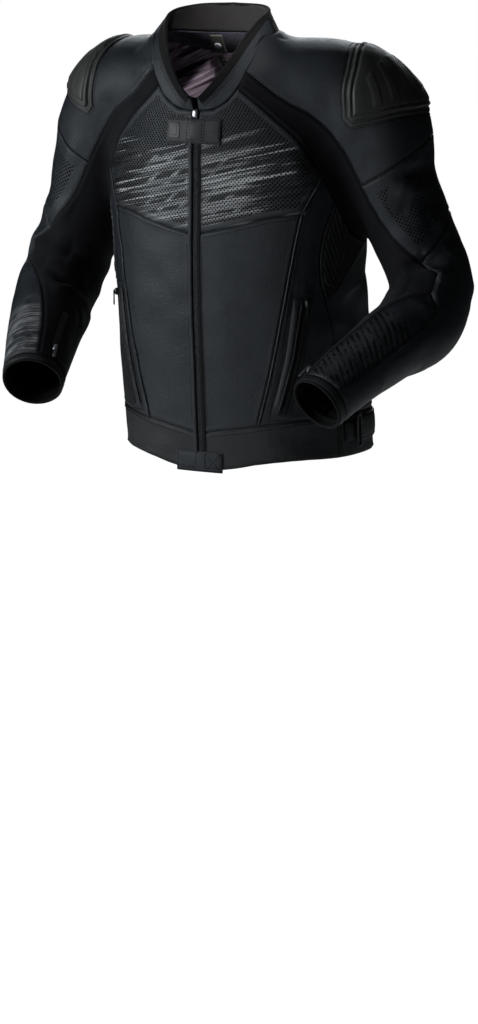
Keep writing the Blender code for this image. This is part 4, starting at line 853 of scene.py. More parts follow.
def leather(name, tone=LEATHER, rough=0.43, perforated=0.0, print_kind=None):
    """Fine-grained cowhide; perforated is how far from the seams its holes begin."""
    s = Shader(name, tone, rough, Specular_IOR_Level=0.5)
    cloth, u, v, edge = s.cloth()
    large, medium, fine = s.noise(9, 3), s.noise(70, 3), s.noise(900, 2)
    pores = s.cells(1150, "DISTANCE_TO_EDGE")
    pebble = s.cells(620, "F1")
    tint = s.plus(s.times(large, 0.55), s.times(medium, 0.45))
    colour = s.blend(s.step(tint, 0.32, 0.68), shade(tone, 0.80), shade(tone, 1.22))
    worn = s.step(edge, 0.0060, 0.0018)                       # rubbed where the seam turns in
    worn = s.times(worn, s.step(s.noise(55, 3), 0.45, 0.75))
    colour = s.blend(s.times(worn, 0.5), colour, shade(tone, 1.9))
    gloss = s.plus(s.times(medium, 0.16), rough - 0.09)
    s.relief(s.step(pores, 0.0, 0.12), 0.000090)
    s.relief(pebble, 0.000095)
    grain = s.cells(340, "F1")
    s.relief(grain, 0.00019)
    colour = s.blend(s.step(grain, 0.15, 0.75, 0.0, 0.30), colour, shade(tone, 0.55))
    s.relief(fine, 0.000022)
    s.relief(s.noise(190, 3), 0.00022)
    s.relief(s.noise(26, 2), 0.00065)
    s.relief(s.step(edge, 0.0, 0.0011), 0.00035)              # the turned edge beside the seam
    if print_kind:
        colour, gloss = PRINTS[print_kind](s, cloth, u, v, edge, colour, gloss)
    if perforated:
        spot = holes(s, cloth, 0.0060, 0.0060, 0.00125)
        if print_kind == "chest":
            spot = s.times(spot, s.step(v, 0.3145, 0.3265))
        spot = s.times(spot, s.step(edge, perforated, perforated + 0.0015))
        # Holes painted nearly black and given no gloss: the dark layer behind, deepened with painted shade
        # inside each hole.
        colour = s.blend(s.times(spot, 0.96), colour, (0.0012, 0.0012, 0.0014))
        gloss = s.plus(gloss, s.times(spot, 0.4))
        s.plug(s.out.inputs["Metallic"], spot)                # no gloss from inside a hole
        s.relief(spot, -0.0005)
    s.colour(colour)
    s.rough(gloss)
    return s.done()


def stretch_cloth(name, tone=(0.0048, 0.0044, 0.0062)):
    """Tightly woven stretch fabric with fine cross ribs."""
    s = Shader(name, tone, 0.82, Sheen_Weight=0.06, Sheen_Roughness=0.5, Specular_IOR_Level=0.18)
    cloth, u, v, edge = s.cloth()
    thread = s.wave(v, 0.0013)
    cross = s.wave(u, 0.0009)
    weave = s.plus(s.times(thread, 0.6), s.times(cross, 0.4))
    mottle = s.noise(38, 3)
    colour = s.blend(s.step(mottle, 0.3, 0.7), shade(tone, 0.8), shade(tone, 1.3))
    colour = s.blend(s.step(weave, -0.6, 0.9, 0.0, 0.5), colour, shade(tone, 1.8))
    s.colour(colour)
    s.rough(s.step(mottle, 0.2, 0.8, 0.76, 0.90))
    s.relief(weave, 0.00009)
    s.relief(s.noise(240, 2), 0.00012)
    s.relief(s.noise(22, 2), 0.0007)
    return s.done()


def plain_weave(name, tone, rough=0.85, pitch=0.0011, sheen=0.15, depth=0.00008):
    """Flat woven tape or binding, in the object's own axes."""
    s = Shader(name, tone, rough, Sheen_Weight=sheen, Sheen_Roughness=0.5, Specular_IOR_Level=0.2)
    at = s.node("ShaderNodeSeparateXYZ", Vector=s.place)
    a = s.wave(s.plus(at.outputs["X"], at.outputs["Z"]), pitch)
    b = s.wave(s.minus(at.outputs["Z"], at.outputs["Y"]), pitch)
    weave = s.times(a, b)
    colour = s.blend(s.step(weave, -0.5, 0.6), shade(tone, 0.7), shade(tone, 1.35))
    s.colour(s.blend(s.step(s.noise(60, 3), 0.3, 0.7, 0.0, 0.4), colour, shade(tone, 0.6)))
    s.relief(weave, depth)
    s.relief(s.noise(300, 2), 0.00005)
    return s.done()


def label(name):
    """Woven size label: a pale selvedge beside a dark field crossed by fine pale lines."""
    s = Shader(name, (0.02, 0.02, 0.022), 0.6, Specular_IOR_Level=0.2)
    (left, _, low), (right, _, high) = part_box("size_label")
    at = s.node("ShaderNodeSeparateXYZ", Vector=s.place)
    across, up = at.outputs["X"], at.outputs["Z"]
    weave = s.wave(s.plus(across, up), 0.0007)
    lines = s.wave(s.minus(up, low), (high - low) / 3)
    colour = s.blend(s.step(lines, 0.45, 0.75, 0.0, 0.8), (0.014, 0.014, 0.016), (0.16, 0.16, 0.165))
    edge = left + 0.30 * (right - left)
    colour = s.blend(s.step(across, edge + 0.0006, edge - 0.0006), colour, (0.85, 0.85, 0.84))
    s.colour(s.blend(s.step(weave, -0.5, 0.6, 0.0, 0.25), colour, (0.01, 0.01, 0.01)))
    s.relief(weave, 0.00005)
    return s.done()


def satin(name):
    """Lining with soft slanting streaks in mauve and grey."""
    s = Shader(name, (0.09, 0.07, 0.08), 0.42, Sheen_Weight=0.25, Sheen_Roughness=0.35)
    turned = s.node("ShaderNodeMapping", Vector=s.place)
    turned.inputs["Rotation"].default_value = (0.0, math.radians(22), 0.0)
    broad = s.noise(1.0, 3, 0.55, at=turned.outputs[0], stretch=(5, 25, 125), twist=0.1)
    keen = s.noise(1.0, 3, 0.6, at=turned.outputs[0], stretch=(8, 35, 420), twist=0.05)
    tint = s.noise(14, 2)
    dark, grey, light = (0.045, 0.022, 0.036), (0.50, 0.36, 0.45), (1.0, 0.82, 1.0)
    colour = s.blend(s.step(broad, 0.40, 0.52), dark, grey)
    colour = s.blend(s.times(s.step(keen, 0.50, 0.62), s.step(broad, 0.42, 0.54)), colour, light)
    colour = s.blend(s.step(tint, 0.45, 0.70, 0.0, 0.30), colour, (0.30, 0.16, 0.28))
    s.colour(colour)
    s.relief(s.noise(90, 3), 0.0006)
    s.relief(s.noise(28, 2), 0.0025)
    s.relief(s.noise(1400, 1), 0.00002)
    return s.done()


def mesh_cloth(name, tone=(0.040, 0.038, 0.062)):
    """Spacer mesh: round holes in a staggered grid."""
    s = Shader(name, tone, 0.8, Sheen_Weight=0.2)
    at = s.node("ShaderNodeSeparateXYZ", Vector=s.place)
    uv = s.node("ShaderNodeCombineXYZ", X=s.plus(at.outputs["X"], at.outputs["Y"]), Y=at.outputs["Z"])
    spot = holes(s, uv.outputs[0], 0.0062, 0.0062, 0.00120)
    colour = s.blend(s.step(s.noise(120, 2), 0.3, 0.7), tone, shade(tone, 1.6))
    # Holes painted nearly black: painted shade for the depth seen through each hole.
    s.colour(s.blend(spot, colour, (0.001, 0.001, 0.0012)))
    s.relief(spot, -0.0006)
    s.relief(s.noise(700, 2), 0.00006)
    return s.done()


def moulded(name, tone=(0.0500, 0.0483, 0.0465), rough=0.47):
    """Shoulder cup: dense satin polymer, lightly scuffed."""
    s = Shader(name, tone, rough, Specular_IOR_Level=0.38)
    scuff = s.noise(1.0, 4, 0.6, stretch=(40, 160, 60))
    s.colour(s.blend(s.step(s.noise(25, 3), 0.3, 0.7), shade(tone, 0.85), shade(tone, 1.2)))
    s.rough(s.step(scuff, 0.35, 0.70, rough - 0.06, rough + 0.12))
    s.relief(s.noise(1500, 1), 0.000018)
    s.relief(scuff, 0.00004)
    return s.done()


def metal(name, tone, rough):
    s = Shader(name, tone, rough, metallic=1.0)
    rub = s.noise(180, 4, 0.65)
    s.colour(s.blend(s.step(rub, 0.35, 0.7), shade(tone, 0.75), [min(1, 1.25 * c) for c in tone]))
    s.rough(s.step(s.noise(420, 2), 0.3, 0.7, rough - 0.07, rough + 0.13))
    s.relief(rub, 0.00003)
    return s.done()


def thread(name, tone):
    s = Shader(name, tone, 0.85, Specular_IOR_Level=0.12)
    s.colour(s.blend(s.step(s.noise(2500, 1), 0.35, 0.65), shade(tone, 0.7), shade(tone, 1.4)))
    s.relief(s.noise(3000, 1), 0.00008)
    return s.done()


MATERIAL = {
    "leather": leather("leather"),
    "leather_chest": leather("leather_chest", perforated=0.0085, print_kind="chest", rough=0.44),
    "leather_holes": leather("leather_holes", perforated=0.0170),
    "leather_streaks": leather("leather_streaks", print_kind="streaks", rough=0.38),
    "leather_bars": leather("leather_bars", print_kind="bars", rough=0.40),
    "leather_band": leather("leather_band", tone=(0.0125, 0.0138, 0.0155), rough=0.42),
    "leather_dark": leather("leather_dark", tone=(0.0075, 0.0078, 0.0088), rough=0.45),
    "piping": leather("piping", tone=(0.0170, 0.0185, 0.0205), rough=0.30),
    "stretch": stretch_cloth("stretch"),
    "backing": plain_weave("backing", (0.0040, 0.0040, 0.0044), 0.9, 0.0016, 0.02),
    "soft": plain_weave("soft", (0.0050, 0.0046, 0.0050), 0.84, 0.0009, 0.05, 0.00004),
    "facing": plain_weave("facing", (0.030, 0.0265, 0.0265), 0.84, 0.0010, 0.2, 0.00005),
    "lining": satin("lining"),
    "mesh": mesh_cloth("mesh"),
    "cup": moulded("cup"),
    "tape": plain_weave("tape", (0.0050, 0.0050, 0.0055), 0.75, 0.0012),
    "tab": leather("tab", tone=(0.120, 0.112, 0.098), rough=0.5),
    # The snap's matte grey is painted reflection, standing in for the light its metal dome would reflect.
    "snap": moulded("snap", tone=(0.30, 0.31, 0.33), rough=0.45),
    "edge_tape": plain_weave("edge_tape", (0.17, 0.165, 0.155), 0.7, 0.0010),
    "label": label("label"),
    "metal": metal("metal", (0.50, 0.50, 0.52), 0.30),
    "dark_metal": metal("dark_metal", (0.075, 0.075, 0.080), 0.34),
    "thread": thread("thread", (0.0016, 0.0017, 0.0020)),
    "thread_light": thread("thread_light", (0.0030, 0.0034, 0.0040)),
}


# ---------------------------------------------------------------- small pieces from their CAD nodes
def node_object(node, name, look, joined):
    """A CAD node's own mesh; joined turns its flat triangles into larger faces."""
    points, tri = read(node)
    piece = mesh_object(name, points, tri, [MATERIAL[look]], smooth=False)
    work = bmesh.new()
    work.from_mesh(piece.data)
    if joined:
        bmesh.ops.join_triangles(work, faces=work.faces, angle_face_threshold=1.0, angle_shape_threshold=2.6)
    work.to_mesh(piece.data)
    work.free()
    return piece


def bake(piece):
    """Applies a piece's modifiers."""
    bpy.context.view_layer.update()
    graph = bpy.context.evaluated_depsgraph_get()
    mesh = bpy.data.meshes.new_from_object(piece.evaluated_get(graph))
    piece.modifiers.clear()
    piece.data = mesh
    mesh.shade_smooth()
    return piece


SOFT_CREASE = 0.86         # how keenly a soft piece holds its edges


def soften(node, look, slot, levels):
    """Soft version of a small cloth piece: the wall's own shape with rounded, slightly full edges."""
    piece = node_object(node, f"{node}_soft", look, True)
    work = bmesh.new()
    work.from_mesh(piece.data)
    layer = work.edges.layers.float.get("crease_edge") or work.edges.layers.float.new("crease_edge")
    for edge in work.edges:
        if len(edge.link_faces) == 2 and edge.calc_face_angle(0) > 0.7:
            edge[layer] = SOFT_CREASE
    work.to_mesh(piece.data)
    work.free()
    smooth = piece.modifiers.new("smooth", "SUBSURF")
    smooth.levels = smooth.render_levels = levels
    smooth.boundary_smooth = "PRESERVE_CORNERS"
    return finish(bake(piece), slot, node)


def round_off(node, look, slot, width, body="jacket"):
    """A hard fitting with its edges broken."""
    piece = node_object(node, f"{node}_metal", look, False)
    bevel = piece.modifiers.new("bevel", "BEVEL")
    bevel.width, bevel.segments, bevel.limit_method, bevel.angle_limit = width, 3, "ANGLE", math.radians(28)
    bevel.harden_normals = True
    bake(piece)
    piece.data.set_sharp_from_angle(angle=math.radians(50))
    return finish(piece, slot, node, body=body)


def small_sheet(wide, tall):
    """Rounds a strip's width and length up to 11 mm and does nothing more with them."""
    wide, tall = max(wide, 0.011), max(tall, 0.011)


# ---------------------------------------------------------------- lines on the cloth
def frames(line, normal, closed=False):
    """Directions along a line and sideways of it."""
    if closed:
        way = unit(np.roll(line, -1, axis=0) - np.roll(line, 1, axis=0))
    else:
        way = unit(np.gradient(line, axis=0))
    return way, unit(np.cross(normal, way))


def steps(line, normal, pitch, closed=False):
    """The line read again at equal steps, with its normals."""
    if closed:
        line, normal = np.concatenate([line, line[:1]]), np.concatenate([normal, normal[:1]])
    run = chord_lengths(line)
    count = max(2, int(round(run[-1] / pitch)) + 1)
    at = np.linspace(0, run[-1], count)[: -1 if closed else None]
    out = [np.stack([np.interp(at, run, rows[:, k]) for k in range(3)], axis=1) for rows in (line, normal)]
    return out[0], unit(out[1])


def sweep(name, line, normal, profile, look, slot, closed=False, scale=None):
    """A closed profile of sideways and outward distances drawn along a line."""
    _, side = frames(line, normal, closed)
    profile = np.array(profile)
    grow = np.ones(len(line)) if scale is None else scale
    rings = (line[:, None] + side[:, None] * profile[None, :, :1] * grow[:, None, None]
             + normal[:, None] * profile[None, :, 1:] * grow[:, None, None])
    rows, columns = rings.shape[:2]
    index = np.arange(rows * columns).reshape(rows, columns)
    after = np.roll(index, -1, axis=0) if closed else index[1:]
    here = index if closed else index[:-1]
    faces = ring_quads(here, after)
    tris = np.concatenate([faces[:, [0, 1, 2]], faces[:, [0, 2, 3]]])
    if not closed:
        fan = [(0, k + 1, k) for k in range(1, columns - 1)]
        ends = np.concatenate([index[0][np.array(fan)], index[-1][np.array(fan)[:, ::-1]]])
        tris = np.concatenate([tris, ends])
    piece = mesh_object(name, rings.reshape(-1, 3), tris, [MATERIAL[look]])
    return finish(right_way_out(piece), slot)


def circle(radius, count=8):
    """A round profile for sweep."""
    turn = np.linspace(0, 2 * np.pi, count, endpoint=False)
    return [(radius * math.cos(t), radius * math.sin(t)) for t in turn]


def faded(count, end):
    """Scales for sweep that thin a line out over its first and last three rings."""
    k = np.arange(count)
    return np.clip(np.minimum(k, k[::-1]) / 3 + end, 0, 1)


class Skin:
    """The finished pieces, to lay stitches and trims on."""

    def __init__(self, pieces):
        points, tris, count = [], [], 0
        for piece in pieces:
            co, tri = mesh_arrays(piece.data)
            points.append(co)
            tris.append(tri + count)
            count += len(co)
        self.tree = BVHTree.FromPolygons(np.concatenate(points).tolist(), np.concatenate(tris).tolist())

    def lay(self, points, normals, reach=0.007):
        """Points brought onto the pieces along their normals; one that meets nothing stays."""
        out = points.copy()
        for k, (p, n) in enumerate(zip(points, normals)):
            hit = self.tree.ray_cast(Vector(p - HOLD + n * reach), Vector(-n), 2.2 * reach)[0]
            if hit is not None:
                out[k] = np.array(hit) + HOLD
        return out


STITCHES = {"thread": [], "thread_light": []}
STITCH_RADIUS = 0.00058        # half its width
STITCH_FACES = 16 * 8000       # faces in one piece at most


def sew(skin, line, normal, look="thread", pitch=0.0042, length=0.0025, closed=False, reach=0.007):
    """A row of stitches along a line."""
    line, normal = steps(line, normal, pitch / 2, closed)
    if len(line) < 4:
        return
    line = skin.lay(line, normal, reach)
    way, _ = frames(line, normal, closed)
    middle, n, t = line[1::2], normal[1::2], way[1::2]
    t = unit(t - n * (t * n).sum(1, keepdims=True))
    STITCHES[look].append((middle - t * length / 2, middle + t * length / 2, n))


def build_stitches():
    """Each stitch is a short square rod with its ends sunk into the cloth."""
    for look, rows in STITCHES.items():
        if not rows:
            continue
        a, b, n = (np.concatenate([row[k] for row in rows]) for k in range(3))
        side = unit(np.cross(b - a, n))
        spots = [a - n * 0.0002]
        for share in (0.22, 0.78):
            middle = a + (b - a) * share + n * 0.00012
            wide, high = side * STITCH_RADIUS, n * STITCH_RADIUS * 1.1
            spots += [middle + wide, middle + high, middle - wide, middle - high]
        spots.append(b - n * 0.0002)
        points = np.stack(spots, axis=1).reshape(-1, 3)
        tris = []
        for k in range(4):
            j = (k + 1) % 4
            tris += [(0, 1 + k, 1 + j), (1 + k, 5 + k, 5 + j), (1 + k, 5 + j, 1 + j), (9, 5 + j, 5 + k)]
        faces = (np.arange(len(a)) * 10)[:, None, None] + np.array(tris)[None]
        faces = faces.reshape(-1, 3)
        for number, k in enumerate(range(0, len(faces), STITCH_FACES)):
            part = pick(points, faces, slice(k, k + STITCH_FACES))
            finish(mesh_object(f"stitches_{look}_{number}", *part, [MATERIAL[look]]), "leather")


TOOTH = (0.0013, 0.0023, 0.0009)     # a small zip's tooth: along, across, high


def teeth(name, at, up, shift, lift, size=TOOTH):
    """A zip's teeth in one piece: tapered blocks that stand in turn to either side of the line."""
    way, side = frames(at, up)
    turn = np.where(np.arange(len(at)) % 2 == 0, -1, 1)[:, None]
    centre = at + turn * side * shift + up * lift
    corners, tris = [], []
    for level, shrink in ((0.0, 1.0), (0.6, 1.0), (1.0, 0.72)):
        for u, v in ((-1, -1), (1, -1), (1, 1), (-1, 1)):
            corners.append((u * shrink / 2, v * shrink / 2, level))
    for ring in range(2):
        for k in range(4):
            a, b = ring * 4 + k, ring * 4 + (k + 1) % 4
            tris += [(a, b, b + 4), (a, b + 4, a + 4)]
    tris += [(8, 9, 10), (8, 10, 11), (0, 2, 1), (0, 3, 2)]
    corners = np.array(corners) * np.array(size)
    points = (centre[:, None] + way[:, None] * corners[None, :, :1] + side[:, None] * corners[None, :, 1:2]
              + up[:, None] * corners[None, :, 2:])
    faces = (np.arange(len(centre)) * 12)[:, None, None] + np.array(tris)[None]
    piece = mesh_object(name, points.reshape(-1, 3), faces.reshape(-1, 3), [MATERIAL["dark_metal"]],
                        smooth=False)
    finish(piece, "dark_metal")


def on_form(side, on, rows, count):
    """A line on the cloth through places on the body or an arm, with its normals."""
    return on_cloth(SIDES[side].place(on, between(rows, count)))


def on_cloth(p):
    """Points of the form moved out to the cloth's face, with their normals."""
    n = unit(slope(p))
    return p + n * lift_of(p)[:, None], n


def front_points(x, z):
    """Points of the front's cloth, straight behind the given distances from the middle and heights."""
    x, z = np.broadcast_arrays(np.asarray(x, float), np.asarray(z, float))
    shape = x.shape
    x, z = x.reshape(-1), z.reshape(-1)
    p = cast(np.stack([x, torso_row(z)[3], z], axis=1), np.tile([0.0, -1.0, 0.0], (len(x), 1)))
    p, n = on_cloth(p)
    return p.reshape(*shape, 3), n.reshape(*shape, 3)


# ---------------------------------------------------------------- the cloth
PANELS = (  # panel, place on the cloth, look, slot
    ("chest", "body", "leather_chest", "leather"), ("front", "body", "leather", "leather"),
    ("side", "body", "leather", "leather"), ("rib", "body", "leather_dark", "leather"),
    ("side_back", "body", "leather", "leather"), ("shoulder", "arm", "leather", "leather"),
    ("upper_sleeve", "arm", "leather_holes", "leather"), ("elbow", "arm", "leather", "leather"),
    ("stretch_sleeve", "under", "stretch", "stretch"), ("hem_front", "body", "leather_band", "leather"),
    ("cuff_band", "arm", "leather_dark", "leather"),
)
cloth = {}
for hand, forearm in (("left", "leather_bars"), ("right", "leather_streaks")):
    for kind, place, look, slot in (*PANELS, ("forearm", "arm", forearm, "leather")):
        cloth[f"{kind}_{hand}"] = cloth_panel(f"{kind}_{hand}", place, look, slot)
cloth["back"] = cloth_panel("back", "body", "leather", "leather")
cloth["hem_back"] = cloth_panel("hem_back", "body", "leather_band", "leather")

# ---------------------------------------------------------------- small soft pieces
SMALL = (  # nodes, look, slot, rounding levels, width and length about
    ("collar_left collar_right", "leather", "leather", 2, 0.13, 0.04),
    ("collar_back", "soft", "soft", 2, 0.21, 0.036),
    ("collar_facing", "facing", "soft", 2, 0.47, 0.038),
    ("neck_mesh", "mesh", "mesh", 2, 0.42, 0.033),
    ("neck_lining", "lining", "lining", 2, 0.36, 0.095),
    ("neck_tab", "tab", "leather", 2, 0.020, 0.026),
    ("size_label", "label", "tape", 1, 0.017, 0.012),
    ("throat_strap", "leather_band", "leather", 2, 0.088, 0.035),
    ("hem_tab", "leather", "leather", 2, 0.073, 0.029),
    ("pocket_welt_left pocket_welt_right", "leather_band", "leather", 2, 0.012, 0.165),
    ("adjuster_tab_left adjuster_tab_right", "leather_dark", "leather", 2, 0.023, 0.028),
    ("adjuster_strap_left adjuster_strap_right", "leather_dark", "leather", 2, 0.115, 0.036),
    ("main_zip", "tape", "tape", 1, 0.027, 0.50),
    ("pocket_zip_left pocket_zip_right", "tape", "tape", 1, 0.011, 0.165),
)
soft = {}
for names, look, slot, levels, wide, tall in SMALL:
    for node in names.split():
        soft[node] = soften(node, look, slot, levels)
        small_sheet(wide, tall)

skin = Skin([*cloth.values(), *soft.values()])


# ---------------------------------------------------------------- seams: who meets whom, stitches and piping
SEAM_REACH = 0.0035            # panels this near each other meet at a seam


def neighbours():
    """For each panel's boundary, the name of the panel across the seam at each point, or nothing."""
    names, points = [], []
    for node, loops in PANEL_LOOPS.items():
        for p, _ in loops:
            names += [node] * len(p)
            points.append(p)
    points = np.concatenate(points)
    names = np.array(names)
    found = {}
    for node, loops in PANEL_LOOPS.items():
        other = points[names != node]
        owner = names[names != node]
        rows = []
        for p, _ in loops:
            near = ((other > p.min(0) - 0.004) & (other < p.max(0) + 0.004)).all(1)
            o, who = other[near], owner[near]
            out = np.full(len(p), "", dtype=object)
            for k in range(0, len(p) if len(o) else 0, 1024):
                d = np.linalg.norm(p[k : k + 1024, None] - o[None], axis=2)
                best = d.argmin(1)
                out[k : k + 1024] = np.where(d.min(1) < SEAM_REACH, who[best], "")
            rows.append(out)
        found[node] = rows
    return found


NEIGHBOURS = neighbours()


def kind_of(node):
    """A panel's name without its hand."""
    return node.replace("_left", "").replace("_right", "")


def stretches(node, wanted):
    """Parts of a panel's edge that meet a kind of panel: lines, normals and inward directions."""
    out = []
    for (p, n), who in zip(PANEL_LOOPS[node], NEIGHBOURS[node]):
        meets = np.array([kind_of(w) in wanted for w in who])
        if not meets.any():
            continue
        start = 0 if meets.all() else int(np.argmin(meets))
        p, n, meets = np.roll(p, -start, axis=0), np.roll(n, -start, axis=0), np.roll(meets, -start)
        _, inward = frames(p, n, closed=True)
        edges = np.flatnonzero(np.diff(np.concatenate([[0], meets.astype(int), [0]])))
        for a, b in edges.reshape(-1, 2):
            if b - a > 3 and chord_lengths(p[a:b])[-1] > 0.012:
                out.append((p[a:b], n[a:b], inward[a:b]))
    return out


def smoothed(rows, rounds=4):
    """Rows evened out along their run, the two end rows kept."""
    rows = rows.copy()
    for _ in range(rounds):
        rows[1:-1] = (rows[:-2] + 2 * rows[1:-1] + rows[2:]) / 4
    return rows


def edge_line(p, n, inward, offset):
    """The edge moved in by an offset, laid back on the form, its ends cut short by as much."""
    q = smoothed(p + unit(smoothed(inward)) * offset)
    q = settle(q, steps=2)
    run = chord_lengths(q)
    keep = (run > offset * 0.9) & (run < run[-1] - offset * 0.9)
    q = q[keep]
    if len(q) < 3:
        return None
    m = unit(slope(q))
    return q + m * lift_of(q)[:, None], m


def across(node, wanted, offsets, look="thread"):
    """Rows of stitches along a panel's seam with the wanted panels."""
    for p, n, inward in stretches(node, wanted):
        for offset in offsets:
            made = edge_line(p, n, inward, offset)
            if made:
                sew(skin, *made, look=look)


NOBODY = ("",)
SEAM_ROWS = (  # panel, what it meets, distances from the seam, thread
    ("chest", ("stretch_sleeve",), (0.0020,), "thread"), ("chest", NOBODY, (0.0078,), "thread"),
    ("front", NOBODY, (0.0078,), "thread"), ("front", ("chest",), (0.0020, 0.0058), "thread_light"),
    ("front", ("side",), (0.0042,), "thread"), ("side", ("chest",), (0.0022,), "thread"),
    ("side", ("stretch_sleeve", "side_back"), (0.0022,), "thread"), ("side", ("rib",), (0.0042,), "thread"),
    ("side_back", ("rib", "stretch_sleeve"), (0.0030,), "thread"),
    ("shoulder", ("stretch_sleeve",), (0.0020,), "thread"),
    ("shoulder", ("upper_sleeve",), (0.0020,), "thread_light"),
    ("shoulder", ("back",), (0.0020, 0.0058), "thread"),
    ("upper_sleeve", ("stretch_sleeve",), (0.0020,), "thread"),
    ("upper_sleeve", ("elbow", "back"), (0.0020,), "thread_light"),
    ("elbow", ("stretch_sleeve",), (0.0020,), "thread"),
    ("forearm", ("stretch_sleeve", "elbow"), (0.0020,), "thread"),
    ("hem_front", ("front", "side"), (0.0020, 0.0062), "thread"),
    ("hem_front", ("", "hem_back"), (0.0030,), "thread"),
)
for hand in ("left", "right"):
    for kind, meets, offsets, look in SEAM_ROWS:
        across(f"{kind}_{hand}", meets, offsets, look)
across("back", ("side_back",), (0.0020, 0.0058))
across("hem_back", ("back", "side_back"), (0.0020, 0.0062))
across("hem_back", ("", "hem_front"), (0.0030,))


def piping(node, wanted, name, radius, lift=0.0003):
    """A thin cord on a panel's seams with the wanted panels."""
    for k, (p, n, inward) in enumerate(stretches(node, wanted)):
        line = settle(smoothed(p), steps=1)
        m = unit(slope(line))
        line, m = steps(line + m * (lift_of(line)[:, None] + lift), m, 0.004)
        sweep(f"{name}_{k}", line, m, circle(radius), "piping", "leather", scale=faded(len(line), 0.55))


def tape_under(name, p, low=0.0023):
    """Flat tape under a seam, so that nothing shows through it."""
    line = settle(smoothed(p), steps=1)
    m = unit(slope(line))
    line, m = steps(line + m * (lift_of(line)[:, None] - low), m, 0.006)
    flat = [(-0.0045, -0.0003), (-0.0045, 0.0), (0.0045, 0.0), (0.0045, -0.0003)]
    sweep(name, line, m, flat, "backing", "tape")


ALL_KINDS = sorted({kind_of(node) for node in PANEL_LOOPS})
for node in PANEL_LOOPS:
    beyond = [kind for kind in ALL_KINDS if kind > kind_of(node) or kind == "hem_back" and node == "hem_back"]
    for k, (p, _, _) in enumerate(stretches(node, beyond)):
        tape_under(f"seam_tape_{node}_{k}", p)
    if kind_of(node) in ("chest", "shoulder", "stretch_sleeve", "back"):
        for k, (p, _, _) in enumerate(stretches(node, NOBODY)):
            high = np.flatnonzero(p[:, 2] > 0.478)
            if len(high) > 6:
                tape_under(f"neck_tape_{node}_{k}", p[high[0] : high[-1] + 1])

for hand in ("left", "right"):
    piping(f"front_{hand}", ("side",), f"piping_front_{hand}", 0.00150)
    piping(f"chest_{hand}", ("side",), f"piping_chest_{hand}", 0.00150)
    piping(f"rib_{hand}", ("side",), f"piping_rib_{hand}", 0.00155)
    piping(f"rib_{hand}", ("side_back",), f"piping_rib_back_{hand}", 0.00120)
    piping(f"upper_sleeve_{hand}", ("shoulder",), f"piping_sleeve_{hand}", 0.00070, lift=0.0001)


# ---------------------------------------------------------------- main zip, its guards and straps
zip_at, zip_up = front_points(0.0, np.arange(0.4775, -0.0135, -0.0023))
teeth("main_zip_teeth", zip_at, zip_up, 0.0011, -0.0010, (0.0017, 0.0030, 0.0013))


def guard(name, away, profile, look, slot, lift=0.0):
    """An edge beside the main zip, at its distance from the middle."""
    at, up = front_points(away, np.arange(0.4715, -0.0100, -0.004))
    sweep(name, at + up * lift, up, profile, look, slot)


guard("zip_guard_right", -0.0062,
      [(-0.0030, 0.0001), (-0.0029, 0.0014), (-0.0016, 0.0024), (0.0004, 0.0027), (0.0022, 0.0021),
       (0.0030, 0.0008), (0.0030, -0.0010), (0.0012, -0.0004)], "leather", "leather")
guard("zip_guard_left", 0.0066,
      [(-0.0030, 0.0000), (-0.0029, 0.0009), (-0.0022, 0.0012), (0.0026, 0.0012), (0.0031, 0.0008),
       (0.0031, -0.0008), (0.0024, -0.0010), (-0.0024, -0.0004)], "tape", "tape")
guard("zip_edge_left", 0.0033, circle(0.0009), "piping", "leather", 0.0006)


def front_row(points, pitch, closed=False):
    """Stitches through corners given by distance from the middle and height."""
    points = np.array(points + points[:1] if closed else points, float)
    run = chord_lengths(points)
    at = np.linspace(0, run[-1], max(4, int(run[-1] / 0.0012)))
    p, n = front_points(np.interp(at, run, points[:, 0]), np.interp(at, run, points[:, 1]))
    sew(skin, p, n, pitch=pitch)


# Stitches of the foot tab, its crossed box first, then of the throat strap's two ends
front_row([(0.0085, 0.0105), (0.0315, 0.0105), (0.0315, -0.0145), (0.0085, -0.0145)], 0.0038, closed=True)
front_row([(0.0085, 0.0105), (0.0315, -0.0145)], 0.0038)
front_row([(0.0085, -0.0145), (0.0315, 0.0105)], 0.0038)
front_row([(0.0060, 0.0105), (-0.0350, 0.0105), (-0.0358, -0.0145), (0.0060, -0.0145)], 0.0042)
front_row([(0.0150, 0.4720), (0.0365, 0.4720), (0.0365, 0.4425), (0.0150, 0.4425)], 0.0038, closed=True)
front_row([(-0.0150, 0.4722), (-0.0440, 0.4722), (-0.0448, 0.4425), (-0.0150, 0.4425)], 0.0042)

# Raised plain plate near the throat strap's loose end
PLATE_ROWS, PLATE_COLUMNS = 22, 20
plate_at, plate_up = front_points(*np.meshgrid(np.linspace(-0.0415, -0.0225, PLATE_COLUMNS),
                                               np.linspace(0.4690, 0.4460, PLATE_ROWS)))
plate_at, plate_up = plate_at.reshape(-1, 3), plate_up.reshape(-1, 3)
across_x = np.abs(np.linspace(-1, 1, PLATE_COLUMNS))[None]
across_z = np.abs(np.linspace(-1, 1, PLATE_ROWS))[:, None]
corner = ((across_x**6 + across_z**6) ** (1 / 6)).reshape(-1, 1)       # 1 at the plate's edge
groove = np.exp(-(((corner - 0.62) / 0.07) ** 2))
rise = 0.0009 * np.clip((1 - corner) / 0.12, 0, 1) ** 0.5 - 0.0005 * groove - 0.0003
plate_at = skin.lay(plate_at, plate_up, 0.012) + plate_up * rise
quads = grid_quads(np.arange(PLATE_ROWS * PLATE_COLUMNS).reshape(PLATE_ROWS, PLATE_COLUMNS))
finish(mesh_object("throat_plate", plate_at, quads, [MATERIAL["cup"]]), "cup")

